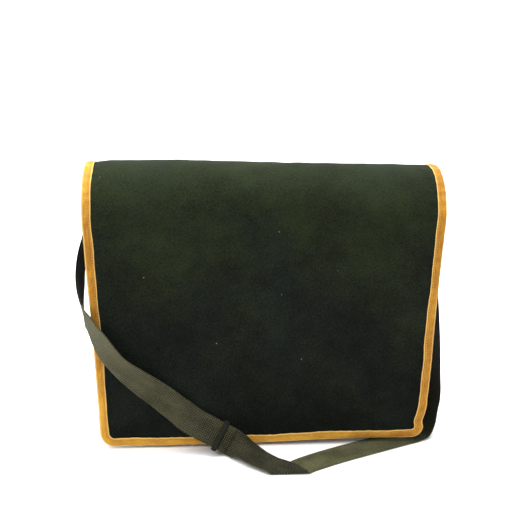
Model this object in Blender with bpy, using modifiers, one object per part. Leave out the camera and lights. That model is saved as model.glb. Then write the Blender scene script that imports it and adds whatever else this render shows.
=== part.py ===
"""Cash deposit bag: a flapped canvas satchel with taped edges and a webbing shoulder strap.

Origin: centre of the base panel's underside. +X is the wearer's left as the bag faces you,
the flap hangs on the -Y side and +Z is up. All lengths are in metres.
"""

import math

import bpy
import numpy as np
from mathutils import Matrix, Vector

GAP = 0.0003

# Flap: a flat hanging front, rolled over a round top, ending at the rear hinge line.
FLAP_HALF_WIDTH = 0.198
FLAP_TAPER = 0.0114
FLAP_BOTTOM_Z = 0.008
FLAP_LEAN = 0.06
FLAP_CORNER = 0.015
ROLL_RADIUS = 0.054
ROLL_Y = 0.007
ROLL_Z = 0.268
ROLL_END = math.radians(172.0)
SPLIT_ANGLE = math.radians(45.0)
CANVAS = 0.0012
LINING = 0.0006
TAPE = 0.0006
TAPE_WIDTH = 0.0105
HINGE_OFFSET = 0.001

# Body: front, rear and two gussets around a rounded rectangular base.
BODY_TOP = 0.270
REAR_TOP = 0.2745
WALL_BOTTOM = 0.0016
BODY_HALF_BOTTOM = 0.170
BODY_HALF_TOP = 0.184
FRONT_Y = -0.0385
REAR_Y = 0.058
REAR_FLARE = 0.0025
FRONT_CORNER = 0.028
REAR_CORNER = 0.014
GUSSET_DIP = 0.004
SEAM_TRIM = 0.0004
PIPING_RADIUS = 0.0018

# Shoulder strap: 32 mm webbing.
STRAP_HALF = 0.016
STRAP_THICK = 0.0014
STRAP_PIVOT_Y = 0.004
STRAP_PIVOT_Z = 0.248
FOLD_Y = -0.1255
FOLD_RADIUS = 0.0016
FLOOR_LAYER_Z = 0.0011
LAYER_SHIFT = 0.00092
RIVET_HOLE = 0.0026
RIVET_SHANK = 0.0022

# Strap route in millimetres: centre x, y, z, then the direction across the webbing from
# its rear or lower edge to its front or upper edge. It ends at the fold on the floor.
ROUTE_TO_FOLD = [
    (-186.6, 4.0, 237.0, 0.0, -1.0, 0.0),
    (-186.6, 4.0, 248.0, 0.0, -1.0, 0.0),
    (-186.7, 4.0, 258.0, 0.0, -1.0, 0.0),
    (-189.0, 4.0, 267.0, 0.0, -1.0, 0.0),
    (-194.0, 3.6, 272.0, 0.0, -1.0, 0.0),
    (-199.0, 2.8, 266.0, -0.05, -1.0, 0.0),
    (-201.3, 1.7, 254.0, -0.10, -1.0, 0.0),
    (-203.0, 1.0, 243.0, -0.12, -0.98, 0.0),
    (-207.0, -3.5, 223.0, -0.20, -0.97, 0.05),
    (-209.3, -10.6, 204.0, -0.20, -0.96, 0.15),
    (-209.3, -21.0, 186.0, -0.16, -0.92, 0.30),
    (-208.0, -32.0, 169.0, -0.03, -0.88, 0.45),
    (-206.0, -43.5, 160.0, 0.03, -0.87, 0.48),
    (-203.7, -56.0, 154.5, 0.15, -0.85, 0.50),
    (-197.0, -69.0, 147.0, 0.40, -0.75, 0.50),
    (-184.5, -74.0, 132.5, 0.55, -0.60, 0.57),
    (-168.0, -72.0, 112.5, 0.65, -0.50, 0.55),
    (-152.0, -69.5, 96.5, 0.68, -0.32, 0.62),
    (-137.0, -67.5, 83.0, 0.66, -0.15, 0.70),
    (-119.0, -67.0, 68.5, 0.63, 0.00, 0.77),
    (-98.0, -68.0, 50.8, 0.60, 0.15, 0.78),
]
KEEPER_POINT = (-47.0, -77.0, 20.0)
KEEPER_RUN = (0.878, -0.190, -0.440)
KEEPER_ACROSS = (0.55, 0.45, 0.70)
KEEPER_STEP = 12.0
ROUTE_BEFORE_FOLD = [
    (-22.0, -87.5, 9.3, 0.50, 0.82, 0.22),
    (-10.0, -99.0, 6.4, 0.52, 0.85, 0.10),
    (4.5, -110.0, 4.3, 0.53, 0.85, 0.0),
    (19.0, -121.0, 4.3, 0.52, 0.855, 0.0),
]
ROUTE_AFTER_FOLD = [
    (38.5, -114.0, 1.1, 0.50, -0.86, 0.0),
    (62.0, -100.5, 1.1, 0.46, -0.89, 0.0),
    (84.0, -90.0, 1.1, 0.44, -0.89, 0.0),
    (107.0, -80.0, 1.1, 0.42, -0.90, 0.0),
    (140.0, -66.0, 1.1, 0.42, -0.90, 0.0),
    (163.0, -56.5, 1.1, 0.44, -0.89, 0.0),
    (184.0, -48.5, 1.2, 0.50, -0.86, 0.0),
    (199.0, -43.0, 4.2, 0.55, -0.83, 0.0),
    (208.0, -37.5, 15.0, 0.45, -0.88, 0.0),
    (210.5, -31.0, 37.0, 0.35, -0.93, 0.0),
    (210.5, -24.0, 75.0, 0.20, -0.98, 0.0),
    (210.5, -18.0, 110.0, 0.10, -0.99, 0.0),
    (208.5, -11.0, 148.0, 0.05, -1.0, 0.0),
    (205.5, -4.0, 195.0, 0.0, -1.0, 0.0),
    (203.5, 0.0, 228.0, 0.0, -1.0, 0.0),
    (202.5, 1.0, 243.0, 0.0, -1.0, 0.0),
    (201.3, 1.7, 254.0, 0.0, -1.0, 0.0),
    (199.0, 2.8, 266.0, 0.0, -1.0, 0.0),
    (194.0, 3.6, 272.0, 0.0, -1.0, 0.0),
    (189.0, 4.0, 267.0, 0.0, -1.0, 0.0),
    (186.7, 4.0, 258.0, 0.0, -1.0, 0.0),
    (186.6, 4.0, 248.0, 0.0, -1.0, 0.0),
    (186.6, 4.0, 237.0, 0.0, -1.0, 0.0),
]

FLAT_LENGTH = (ROLL_Z + ROLL_RADIUS * math.sin(FLAP_LEAN) - FLAP_BOTTOM_Z) / math.cos(FLAP_LEAN)
SPLIT_LENGTH = FLAT_LENGTH + ROLL_RADIUS * (SPLIT_ANGLE - FLAP_LEAN)
END_LENGTH = FLAT_LENGTH + ROLL_RADIUS * (ROLL_END - FLAP_LEAN)


def clear_scene():
    for item in list(bpy.data.objects):
        bpy.data.objects.remove(item, do_unlink=True)


def collection(name):
    made = bpy.data.collections.new(name)
    bpy.context.scene.collection.children.link(made)
    return made


def material(name, color, roughness, metallic=0.0):
    made = bpy.data.materials.new(name)
    made.use_nodes = True
    shader = made.node_tree.nodes["Principled BSDF"]
    shader.inputs["Base Color"].default_value = (*color, 1.0)
    shader.inputs["Roughness"].default_value = roughness
    shader.inputs["Metallic"].default_value = metallic
    return made


def adopt(item, name, look, parent):
    item.name = name
    item.data.name = name
    item.data.materials.clear()
    item.data.materials.append(look)
    for holder in list(item.users_collection):
        holder.objects.unlink(item)
    PARTS.objects.link(item)
    if parent is not None:
        item.parent = parent
        item.matrix_parent_inverse = parent.matrix_world.inverted()
    return item


def pivot(name, y, z):
    bpy.ops.object.empty_add(location=(0.0, y, z))
    empty = bpy.context.object
    empty.name = name
    bpy.context.view_layer.update()
    return empty


def sheet(name, look, parent, columns, rows, shape, thickness, side=-1.0):
    """A grid bent into shape(u, v), u and v from 0 to 1, then given its thickness."""
    bpy.ops.mesh.primitive_grid_add(x_subdivisions=columns, y_subdivisions=rows, size=1.0)
    item = bpy.context.object
    for vertex in item.data.vertices:
        vertex.co = shape(vertex.co.x + 0.5, vertex.co.y + 0.5)
    solid = item.modifiers.new("thickness", "SOLIDIFY")
    solid.thickness = thickness
    solid.offset = side
    return adopt(item, name, look, parent)


def flap_point(length, x, off):
    """Point on the flap at a length up from its bottom edge, off metres out of its face."""
    if length < FLAT_LENGTH:
        down = FLAT_LENGTH - length
        angle = FLAP_LEAN
    else:
        down = 0.0
        angle = FLAP_LEAN + (length - FLAT_LENGTH) / ROLL_RADIUS
    reach = ROLL_RADIUS + off
    y = ROLL_Y - reach * math.cos(angle) - down * math.sin(FLAP_LEAN)
    z = ROLL_Z + reach * math.sin(angle) - down * math.cos(FLAP_LEAN)
    return Vector((x, y, z))


def flap_half(length):
    return FLAP_HALF_WIDTH - FLAP_TAPER * max(0.0, 1.0 - length / FLAT_LENGTH)


def flap_half_rounded(length, inset):
    half = flap_half(length) - inset
    rise = FLAP_CORNER - (length - inset)
    if rise > 0.0:
        rise = min(rise, FLAP_CORNER)
        half -= FLAP_CORNER - math.sqrt(FLAP_CORNER**2 - rise**2)
    return half


def flap_sheet(name, look, parent, lengths, inset, off, thickness, columns):
    rows = len(lengths) - 1

    def shape(u, v):
        length = lengths[round(v * rows)]
        return flap_point(length, (2.0 * u - 1.0) * flap_half_rounded(length, inset), off)

    return sheet(name, look, parent, columns, rows, shape, thickness)


def tape_section(v, width, low, high, bend):
    """Distance in from the edge and height out of the face, around a folded tape."""
    half = (high - low) / 2.0
    middle = (high + low) / 2.0
    if v < 0.3:
        return width * (1.0 - v / 0.3), high
    if v > 0.7:
        return width * (v - 0.7) / 0.3, low
    turn = (v - 0.3) / 0.4 * math.pi
    return -bend * math.sin(turn), middle + half * math.cos(turn)


def edge_tape(name, look, parent, path, reverse=False):
    """A folded tape along a list of functions of distance in from the edge and height out."""
    columns = len(path) - 1

    def shape(u, v):
        if reverse:
            v = 1.0 - v
        inward, off = tape_section(v, TAPE_WIDTH, TAPE_LOW, TAPE_HIGH, (TAPE_HIGH - TAPE_LOW) / 2.0)
        return path[round(u * columns)](inward, off)

    return sheet(name, look, parent, columns, 10, shape, TAPE, 0.0)


TAPE_HIGH = GAP + TAPE / 2.0
TAPE_LOW = -CANVAS - GAP - LINING - GAP - TAPE / 2.0


def side_point(length, sign):
    return lambda inward, off: flap_point(length, sign * (flap_half(length) - inward), off)


def corner_point(turn, sign):
    centre = flap_half(FLAP_CORNER) - FLAP_CORNER

    def place(inward, off):
        reach = FLAP_CORNER - inward
        length = FLAP_CORNER - reach * math.sin(turn)
        return flap_point(length, sign * (centre + reach * math.cos(turn)), off)

    return place


def front_lengths():
    """Lengths up the flap's front at which its sheets and its tape have an edge loop."""
    curved = SPLIT_LENGTH - 0.0003 - FLAT_LENGTH
    flat = [FLAP_CORNER, 0.05, 0.10, 0.15, 0.20, FLAT_LENGTH]
    return flat + [FLAT_LENGTH + curved * k / 6.0 for k in range(1, 7)]


def top_lengths():
    first = SPLIT_LENGTH + 0.0003
    return [first + (END_LENGTH - first) * k / 13.0 for k in range(14)]


def flap_front_edge():
    """Down the left side, round the bottom and up the right side of the flap's front."""
    half = [side_point(length, -1.0) for length in reversed(front_lengths())]
    half += [corner_point(k / 5.0 * math.pi / 2.0, -1.0) for k in range(1, 6)]
    other = [corner_point(k / 5.0 * math.pi / 2.0, 1.0) for k in range(5, 0, -1)]
    other += [side_point(length, 1.0) for length in front_lengths()]
    return half + other


def flap_top_edge(sign):
    lengths = top_lengths()
    lengths[-1] -= 0.004
    return [side_point(length, sign) for length in lengths]


def body_half(z):
    rise = z / BODY_TOP
    return BODY_HALF_BOTTOM + (BODY_HALF_TOP - BODY_HALF_BOTTOM) * rise


def front_y(z):
    rise = z / BODY_TOP
    return FRONT_Y + 0.004 * rise - 0.0035 * math.sin(math.pi * min(rise, 1.0))


def rear_y(z):
    return REAR_Y + REAR_FLARE * (z / REAR_TOP) ** 2


def wall(u, z, off, end):
    """Front (end -1) or rear (end +1) wall with its half corners; u runs from left to right."""
    radius = FRONT_CORNER if end < 0 else REAR_CORNER
    face = front_y(z) if end < 0 else rear_y(z)
    half = body_half(z) - radius
    trim = SEAM_TRIM / radius
    if 0.12 <= u <= 0.88:
        return Vector((half * (u - 0.5) / 0.38, face + end * off, z))
    sign = -1.0 if u < 0.5 else 1.0
    turn = (0.12 - u if u < 0.5 else u - 0.88) / 0.12 * (math.pi / 4.0 - trim)
    reach = radius + off
    x = sign * (half + reach * math.sin(turn))
    return Vector((x, face - end * radius + end * reach * math.cos(turn), z))


def gusset(u, z, off, sign):
    """Side wall from the front half corner (u 0) to the rear half corner (u 1)."""
    front = front_y(z) + FRONT_CORNER
    rear = rear_y(z) - REAR_CORNER
    half = body_half(z)
    if u < 0.2 or u > 0.8:
        end = -1.0 if u < 0.5 else 1.0
        radius = FRONT_CORNER if end < 0 else REAR_CORNER
        trim = SEAM_TRIM / radius
        part = (0.2 - u if end < 0 else u - 0.8) / 0.2
        turn = part * (math.pi / 4.0 - trim)
        reach = radius + off
        y = (front if end < 0 else rear) + end * reach * math.sin(turn)
        return Vector((sign * (half - radius + reach * math.cos(turn)), y, z))
    along = (u - 0.2) / 0.6
    rise = min(max(z / 0.225, 0.0), 1.0)
    dip = GUSSET_DIP * math.sin(math.pi * along) ** 2 * math.sin(math.pi * rise) ** 2
    return Vector((sign * (half + off - dip), front + (rear - front) * along, z))


def tube(name, look, parent, points, radius):
    curve = bpy.data.curves.new(name, "CURVE")
    curve.dimensions = "3D"
    curve.bevel_depth = radius
    curve.bevel_resolution = 2
    curve.use_fill_caps = True
    spline = curve.splines.new("POLY")
    spline.points.add(len(points) - 1)
    for slot, point in zip(spline.points, points):
        slot.co = (*point, 1.0)
    item = bpy.data.objects.new(name, curve)
    bpy.context.scene.collection.objects.link(item)
    return adopt(item, name, look, parent)


def piping(name, look, end, top):
    """Cord sewn down one vertical seam, along the base and up the other seam."""
    off = PIPING_RADIUS + GAP
    low = PIPING_RADIUS + 0.0006
    bend = 0.012
    points = [wall(0.0, top + (low + bend - top) * k / 7.0, off, end) for k in range(8)]
    for k in range(1, 5):
        turn = k / 4.0 * math.pi / 2.0
        u = 0.06 * (1.0 - math.cos(turn))
        points.append(wall(u, low + bend * (1.0 - math.sin(turn)), off, end))
    points += [wall(0.06 + 0.06 * k / 3.0, low, off, end) for k in (1, 2, 3)]
    points += [wall(0.12 + 0.38 * k / 3.0, low, off, end) for k in (1, 2, 3)]
    mirrored = [Vector((-point.x, point.y, point.z)) for point in points[:-1]]
    return tube(name, look, None, points + mirrored[::-1], PIPING_RADIUS)


def rounded_plate(name, look, half_x, front, rear, corner_front, corner_rear, low, high):
    """Flat plate with rounded corners between two heights."""
    outline = []
    for sign, end, radius in ((1, 1, corner_rear), (-1, 1, corner_rear), (-1, -1, corner_front),
                              (1, -1, corner_front)):
        x = sign * (half_x - radius)
        y = (rear - radius) if end > 0 else (front + radius)
        for k in range(6):
            part = k / 5.0 if sign * end > 0 else 1.0 - k / 5.0
            turn = part * math.pi / 2.0
            outline.append((x + sign * radius * math.cos(turn), y + end * radius * math.sin(turn)))
    curve = bpy.data.curves.new(name, "CURVE")
    curve.dimensions = "2D"
    curve.fill_mode = "BOTH"
    curve.extrude = (high - low) / 2.0
    spline = curve.splines.new("POLY")
    spline.points.add(len(outline) - 1)
    for slot, (x, y) in zip(spline.points, outline):
        slot.co = (x, y, 0.0, 1.0)
    spline.use_cyclic_u = True
    item = bpy.data.objects.new(name, curve)
    bpy.context.scene.collection.objects.link(item)
    item.location = (0.0, 0.0, (high + low) / 2.0)
    return adopt(item, name, look, None)


def mouth_edge():
    """From the left rear seam, along the gusset, the front and the right gusset."""

    def side(u, sign):
        return lambda inward, off: gusset(u, BODY_TOP - inward, off, sign)

    def face(u):
        return lambda inward, off: wall(u, BODY_TOP - inward, off, -1.0)

    left = [side(1.0 - k / 10.0, -1.0) for k in range(11)]
    front = [face(k / 25.0) for k in range(26)]
    right = [side(k / 10.0, 1.0) for k in range(11)]
    return left + front + right


def block(name, look, parent, size, place, turn=None, bevel=0.0):
    bpy.ops.mesh.primitive_cube_add(size=1.0)
    item = bpy.context.object
    item.data.transform(Matrix.Diagonal((*size, 1.0)))
    if turn is not None:
        item.data.transform(turn.to_4x4())
    item.location = place
    bpy.context.view_layer.update()
    if bevel > 0.0:
        rounding = item.modifiers.new("edges", "BEVEL")
        rounding.width = bevel
        rounding.segments = 2
    return adopt(item, name, look, parent)


def cutter(name, radius, length, place):
    bpy.ops.mesh.primitive_cylinder_add(vertices=20, radius=radius, depth=length, location=place)
    item = bpy.context.object
    item.rotation_euler = (0.0, math.pi / 2.0, 0.0)
    item.name = name
    for holder in list(item.users_collection):
        holder.objects.unlink(item)
    CUTTERS.objects.link(item)
    item.hide_render = True
    item.display_type = "WIRE"
    bpy.context.view_layer.update()
    return item


def cut(item, tool):
    change = item.modifiers.new("hole", "BOOLEAN")
    change.operation = "DIFFERENCE"
    change.object = tool
    change.solver = "EXACT"


def unit(vector):
    return vector / np.linalg.norm(vector)


def strap_stations():
    rows = [np.array(row) for row in ROUTE_TO_FOLD]
    run = unit(np.array(KEEPER_RUN))
    across = np.array(KEEPER_ACROSS)
    for k in (-3, -2, -1, 0, 1):
        centre = np.array(KEEPER_POINT) + k * KEEPER_STEP * run
        rows.append(np.concatenate([centre, across]))
    rows += [np.array(row) for row in ROUTE_BEFORE_FOLD]
    bend = math.pi * FOLD_RADIUS * 1000.0
    for row in ROUTE_AFTER_FOLD:
        x, y, z, wx, wy, wz = row
        flat_y = 2.0 * FOLD_Y * 1000.0 - y - bend
        rows.append(np.array([x, flat_y, z + 2000.0 * FOLD_RADIUS, wx, -wy, wz]))
    rows = np.array(rows)
    centres = rows[:, :3] / 1000.0
    sides = np.array([unit(row) for row in rows[:, 3:]])
    return centres, sides


def smooth(values, knots, at):
    """Cubic through the stations with tangents weighted by their spacing."""
    slopes = np.diff(values, axis=0) / np.diff(knots)[:, None]
    tangents = np.empty_like(values)
    tangents[0] = slopes[0]
    tangents[-1] = slopes[-1]
    before = np.diff(knots)[:-1, None]
    after = np.diff(knots)[1:, None]
    tangents[1:-1] = (slopes[:-1] * after + slopes[1:] * before) / (before + after)
    k = np.clip(np.searchsorted(knots, at, side="right") - 1, 0, len(knots) - 2)
    span = knots[k + 1] - knots[k]
    t = ((at - knots[k]) / span)[:, None]
    span = span[:, None]
    return (
        (2 * t**3 - 3 * t**2 + 1) * values[k]
        + (t**3 - 2 * t**2 + t) * span * tangents[k]
        + (3 * t**2 - 2 * t**3) * values[k + 1]
        + (t**3 - t**2) * span * tangents[k + 1]
    )


def strap_frame(at, lift):
    """Centre and across direction of the unfolded webbing at lengths, lifted off its middle."""
    centres, sides = strap_stations()
    knots = np.concatenate([[0.0], np.cumsum(np.linalg.norm(np.diff(centres, axis=0), axis=1))])
    middle = smooth(centres, knots, at)
    across = smooth(sides, knots, at)
    step = 0.0005
    run = smooth(centres, knots, at + step) - smooth(centres, knots, at - step)
    run /= np.linalg.norm(run, axis=1)[:, None]
    across -= (across * run).sum(axis=1)[:, None] * run
    across /= np.linalg.norm(across, axis=1)[:, None]
    normal = np.cross(across, run)
    return middle + normal * lift[:, None], across, run, normal, knots


def fold_under(points):
    """The webbing turns under itself where its flat run passes the fold line."""
    past = FOLD_Y - points[..., 1]
    height = points[..., 2] - (FLOOR_LAYER_Z + 2.0 * FOLD_RADIUS)
    turn = np.clip(past / FOLD_RADIUS, 0.0, math.pi)
    bent = (past > 0.0) & (past <= math.pi * FOLD_RADIUS)
    under = past > math.pi * FOLD_RADIUS
    y = np.where(bent, FOLD_Y - FOLD_RADIUS * np.sin(turn), points[..., 1])
    z = np.where(bent, FLOOR_LAYER_Z + FOLD_RADIUS * (1.0 + np.cos(turn)), points[..., 2])
    y = np.where(under, FOLD_Y + past - math.pi * FOLD_RADIUS, y)
    z = np.where(under, FLOOR_LAYER_Z + height, z)
    return np.stack([points[..., 0], y, z], axis=-1)


def strap_piece(name, look, parent, first, last, rows, lift_of, columns=2):
    lengths = np.linspace(first, last, rows + 1)
    lift = np.array([lift_of(length) for length in lengths])
    middle, across, _, _, _ = strap_frame(lengths, lift)
    offsets = np.linspace(-STRAP_HALF, STRAP_HALF, columns + 1)
    grid = fold_under(middle[:, None, :] + offsets[None, :, None] * across[:, None, :])

    def shape(u, v):
        return Vector(grid[round(v * rows), round(u * columns)])

    return sheet(name, look, parent, columns, rows, shape, STRAP_THICK, 0.0)


def ease(value):
    value = min(max(value, 0.0), 1.0)
    return value * value * (3.0 - 2.0 * value)


def rivet(name, look, sign):
    """Hollow-set rivet through the gusset, the tab and the strap end, turned about X."""
    inside = 0.1802
    profile = [
        (0.0, 0.0098),
        (0.0038, 0.0095),
        (0.0058, 0.0087),
        (0.0062, 0.0075),
        (RIVET_SHANK, 0.0075),
        (RIVET_SHANK, 0.0010),
        (0.0058, 0.0010),
        (0.0058, 0.0),
        (0.0, 0.0),
    ]
    mesh = bpy.data.meshes.new(name)
    edges = [(k, k + 1) for k in range(len(profile) - 1)]
    mesh.from_pydata([(x, 0.0, z) for x, z in profile], edges, [])
    item = bpy.data.objects.new(name, mesh)
    bpy.context.scene.collection.objects.link(item)
    turned = item.modifiers.new("turn", "SCREW")
    turned.steps = 20
    turned.render_steps = 20
    turned.use_merge_vertices = True
    turned.merge_threshold = 0.00005
    item.location = (sign * inside, STRAP_PIVOT_Y, STRAP_PIVOT_Z)
    item.rotation_euler = (0.0, sign * math.pi / 2.0, 0.0)
    bpy.context.view_layer.update()
    return adopt(item, name, look, None)


def main():
    canvas = material("canvas", (0.020, 0.026, 0.018), 0.95)
    lining = material("lining", (0.030, 0.034, 0.026), 0.90)
    tape = material("tape", (0.580, 0.300, 0.050), 0.75)
    webbing = material("webbing", (0.075, 0.080, 0.050), 0.85)
    plastic = material("keeper_plastic", (0.012, 0.013, 0.010), 0.45)
    metal = material("blackened_brass", (0.060, 0.050, 0.030), 0.40, 1.0)
    board = material("board", (0.100, 0.070, 0.040), 0.85)
    fastener = material("fastener_tape", (0.010, 0.012, 0.010), 0.95)

    hinge_reach = ROLL_RADIUS + HINGE_OFFSET
    hinge = pivot(
        "flap_hinge_axis",
        ROLL_Y - hinge_reach * math.cos(ROLL_END),
        ROLL_Z + ROLL_RADIUS * math.sin(ROLL_END) - 0.0005,
    )
    bend = pivot(
        "flap_bend_axis",
        ROLL_Y - hinge_reach * math.cos(SPLIT_ANGLE),
        ROLL_Z + hinge_reach * math.sin(SPLIT_ANGLE),
    )
    bend.parent = hinge
    bend.matrix_parent_inverse = hinge.matrix_world.inverted()
    swing = pivot("strap_swing_axis", STRAP_PIVOT_Y, STRAP_PIVOT_Z)
    bpy.context.view_layer.update()

    # Flap
    inner = -CANVAS - GAP
    inset = 0.0006
    low_rows = [inset, 0.0022, 0.0045, 0.0075, 0.0110]
    front_rows = low_rows + front_lengths()
    top_rows = top_lengths()
    flap_sheet("flap_front_canvas", canvas, bend, front_rows, inset, 0.0, CANVAS, 6)
    flap_sheet("flap_front_lining", lining, bend, front_rows, inset, inner, LINING, 6)
    flap_sheet("flap_top_canvas", canvas, hinge, top_rows, inset, 0.0, CANVAS, 4)
    flap_sheet("flap_top_lining", lining, hinge, top_rows, inset, inner, LINING, 4)
    edge_tape("flap_front_binding", tape, bend, flap_front_edge(), True)
    edge_tape("flap_top_binding_left", tape, hinge, flap_top_edge(-1.0))
    edge_tape("flap_top_binding_right", tape, hinge, flap_top_edge(1.0), True)

    # Body
    span = BODY_TOP - WALL_BOTTOM

    def front_shape(u, v):
        return wall(u, WALL_BOTTOM + span * v, 0.0, -1.0)

    def rear_shape(u, v):
        z = WALL_BOTTOM + span * v * 9.0 / 8.0 if v < 0.9 else REAR_TOP
        return wall(1.0 - u, z, 0.0, 1.0)

    def left_shape(u, v):
        return gusset(1.0 - u, WALL_BOTTOM + span * v, 0.0, -1.0)

    def right_shape(u, v):
        return gusset(u, WALL_BOTTOM + span * v, 0.0, 1.0)

    sheet("front_panel", canvas, None, 25, 8, front_shape, CANVAS)
    sheet("back_panel", canvas, None, 25, 9, rear_shape, CANVAS)
    left = sheet("left_gusset", canvas, None, 10, 8, left_shape, CANVAS)
    right = sheet("right_gusset", canvas, None, 10, 8, right_shape, CANVAS)
    rounded_plate("base_panel", canvas, BODY_HALF_BOTTOM, FRONT_Y, REAR_Y, FRONT_CORNER,
                  REAR_CORNER, 0.0, CANVAS)
    rounded_plate("base_board", board, BODY_HALF_BOTTOM - 0.0025, FRONT_Y + 0.0025, REAR_Y - 0.0025,
                  FRONT_CORNER - 0.0025, REAR_CORNER - 0.0025, CANVAS + GAP, CANVAS + GAP + 0.003)
    piping("front_piping", canvas, -1.0, BODY_TOP - TAPE_WIDTH - 0.002)
    piping("rear_piping", canvas, 1.0, BODY_TOP - TAPE_WIDTH - 0.002)

    mouth = mouth_edge()
    last = len(mouth) - 1

    def mouth_shape(u, v):
        inward, off = tape_section(1.0 - v, 0.007, -CANVAS - GAP - TAPE / 2.0, TAPE_HIGH, 0.0012)
        return mouth[round(u * last)](inward - 0.0004, off)

    sheet("mouth_binding", tape, None, last, 10, mouth_shape, TAPE, 0.0)

    # Inside pocket, a patch that stands off the back panel between its sewn edges
    def pocket_shape(u, v):
        across_width = 0.075 * (2.0 * u - 1.0)
        up = 0.075 + 0.105 * v
        rise = ease(min(u, 1.0 - u) / 0.2) * ease(v / 0.2 + 0.02)
        return Vector((across_width, rear_y(up) - CANVAS - GAP - 0.0085 * rise, up))

    sheet("inner_pocket", lining, None, 12, 8, pocket_shape, 0.001, 1.0)

    def pocket_tape(u, v):
        inward, off = tape_section(v, 0.008, -0.0011, 0.0011, 0.0011)
        x = 0.036 * (2.0 * u - 1.0)
        y = rear_y(0.1804 - inward) - CANVAS - GAP - 0.0085 - 0.0005 - off
        return Vector((x, y, 0.1804 - inward))

    sheet("pocket_binding", tape, None, 2, 10, pocket_tape, TAPE, 0.0)

    # Hook-and-loop closure, a pair of pads on the front panel and a pair under the flap
    for side, sign in (("left", -1.0), ("right", 1.0)):
        z = 0.085
        y = front_y(z) - GAP - 0.0006
        lean = math.atan((front_y(z + 0.01) - front_y(z - 0.01)) / 0.02)
        turn = Matrix.Rotation(-lean, 3, "X")
        block(f"loop_pad_{side}", fastener, None, (0.050, 0.0012, 0.025), (sign * 0.095, y, z), turn)
        length = (z - FLAP_BOTTOM_Z) / math.cos(FLAP_LEAN)
        spot = flap_point(length, sign * 0.095, inner - LINING - GAP - 0.0006)
        turn = Matrix.Rotation(-FLAP_LEAN, 3, "X")
        block(f"hook_pad_{side}", fastener, bend, (0.050, 0.0012, 0.025), spot, turn)

    # Strap anchors: a sewn tab and a rivet on each gusset
    half = body_half(STRAP_PIVOT_Z)
    for side, sign, panel in (("left", -1.0, left), ("right", 1.0, right)):
        tool = cutter(f"rivet_cutter_{side}", RIVET_HOLE, 0.03,
                      (sign * 0.184, STRAP_PIVOT_Y, STRAP_PIVOT_Z))
        cut(panel, tool)
        tab = block(f"strap_tab_{side}", webbing, None, (0.0012, 0.034, 0.030),
                    (sign * (half + 0.0011), STRAP_PIVOT_Y, 0.2455),
                    Matrix.Rotation(sign * math.atan(0.014 / BODY_TOP), 3, "Y"))
        cut(tab, tool)
        rivet(f"anchor_rivet_{side}", metal, sign)

    # Shoulder strap: two lengths of webbing that overlap at the keeper
    _, _, _, _, knots = strap_frame(np.array([0.1]), np.array([0.0]))
    first_straight = len(ROUTE_TO_FOLD)
    lap = knots[first_straight + 3]
    keeper_at = lap - 0.004
    lap_start = keeper_at - 0.002
    lap_end = lap + 0.009

    def lift_left(length):
        return -LAYER_SHIFT * ease((length - (lap - 0.060)) / 0.030)

    def lift_right(length):
        return LAYER_SHIFT * (1.0 - ease((length - lap_end - 0.002) / 0.025))

    left_strap = strap_piece("strap_left", webbing, swing, 0.0, lap_end, 72, lift_left)
    right_strap = strap_piece("strap_right", webbing, swing, lap_start, knots[-1], 110, lift_right, 8)
    cut(left_strap, bpy.data.objects["rivet_cutter_left"])
    cut(right_strap, bpy.data.objects["rivet_cutter_right"])

    centre, across, run, normal, _ = strap_frame(np.array([keeper_at]), np.array([0.0]))
    turn = Matrix((run[0], across[0], -normal[0])).transposed()
    keeper = block("strap_keeper", plastic, swing, (0.006, 0.0372, 0.0076), centre[0], turn, 0.0010)
    bpy.ops.mesh.primitive_cube_add(size=1.0)
    window = bpy.context.object
    window.name = "keeper_cutter"
    window.data.transform(Matrix.Diagonal((0.02, 0.0336, 0.0044, 1.0)))
    window.data.transform(turn.to_4x4())
    window.location = centre[0]
    for holder in list(window.users_collection):
        holder.objects.unlink(window)
    CUTTERS.objects.link(window)
    window.hide_render = True
    window.display_type = "WIRE"
    cut(keeper, window)


clear_scene()
PARTS = collection("cash_deposit_bag")
CUTTERS = collection("cutters")
main()
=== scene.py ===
import math

import bpy
import numpy as np
from mathutils import Matrix, Vector


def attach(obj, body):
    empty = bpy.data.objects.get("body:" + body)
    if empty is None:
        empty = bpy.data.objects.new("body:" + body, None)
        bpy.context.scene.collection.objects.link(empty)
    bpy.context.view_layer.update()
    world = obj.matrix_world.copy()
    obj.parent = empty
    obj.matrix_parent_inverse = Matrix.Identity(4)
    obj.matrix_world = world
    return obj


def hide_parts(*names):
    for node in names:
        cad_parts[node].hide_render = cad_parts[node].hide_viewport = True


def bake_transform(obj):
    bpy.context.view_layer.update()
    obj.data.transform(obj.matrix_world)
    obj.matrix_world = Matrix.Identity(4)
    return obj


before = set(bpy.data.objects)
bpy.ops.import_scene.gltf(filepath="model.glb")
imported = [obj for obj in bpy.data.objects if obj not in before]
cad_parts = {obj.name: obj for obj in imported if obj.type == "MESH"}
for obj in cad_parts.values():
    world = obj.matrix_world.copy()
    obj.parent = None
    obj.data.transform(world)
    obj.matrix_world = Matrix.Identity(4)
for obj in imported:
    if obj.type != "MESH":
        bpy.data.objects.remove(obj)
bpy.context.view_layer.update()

# Looks of the cash deposit bag: sewn canvas flap and body, taped edges, webbing shoulder
# strap. All lengths are in metres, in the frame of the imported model.

GAP = 0.0003
RIPPLE_WAVES = 9
STITCH_RADIUS = 0.00042
STITCH_PITCH = 0.0034
WARP_PITCH = 0.0013
TWILL_PITCH = 0.0011
FLECK_PITCH = 0.0047

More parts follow.
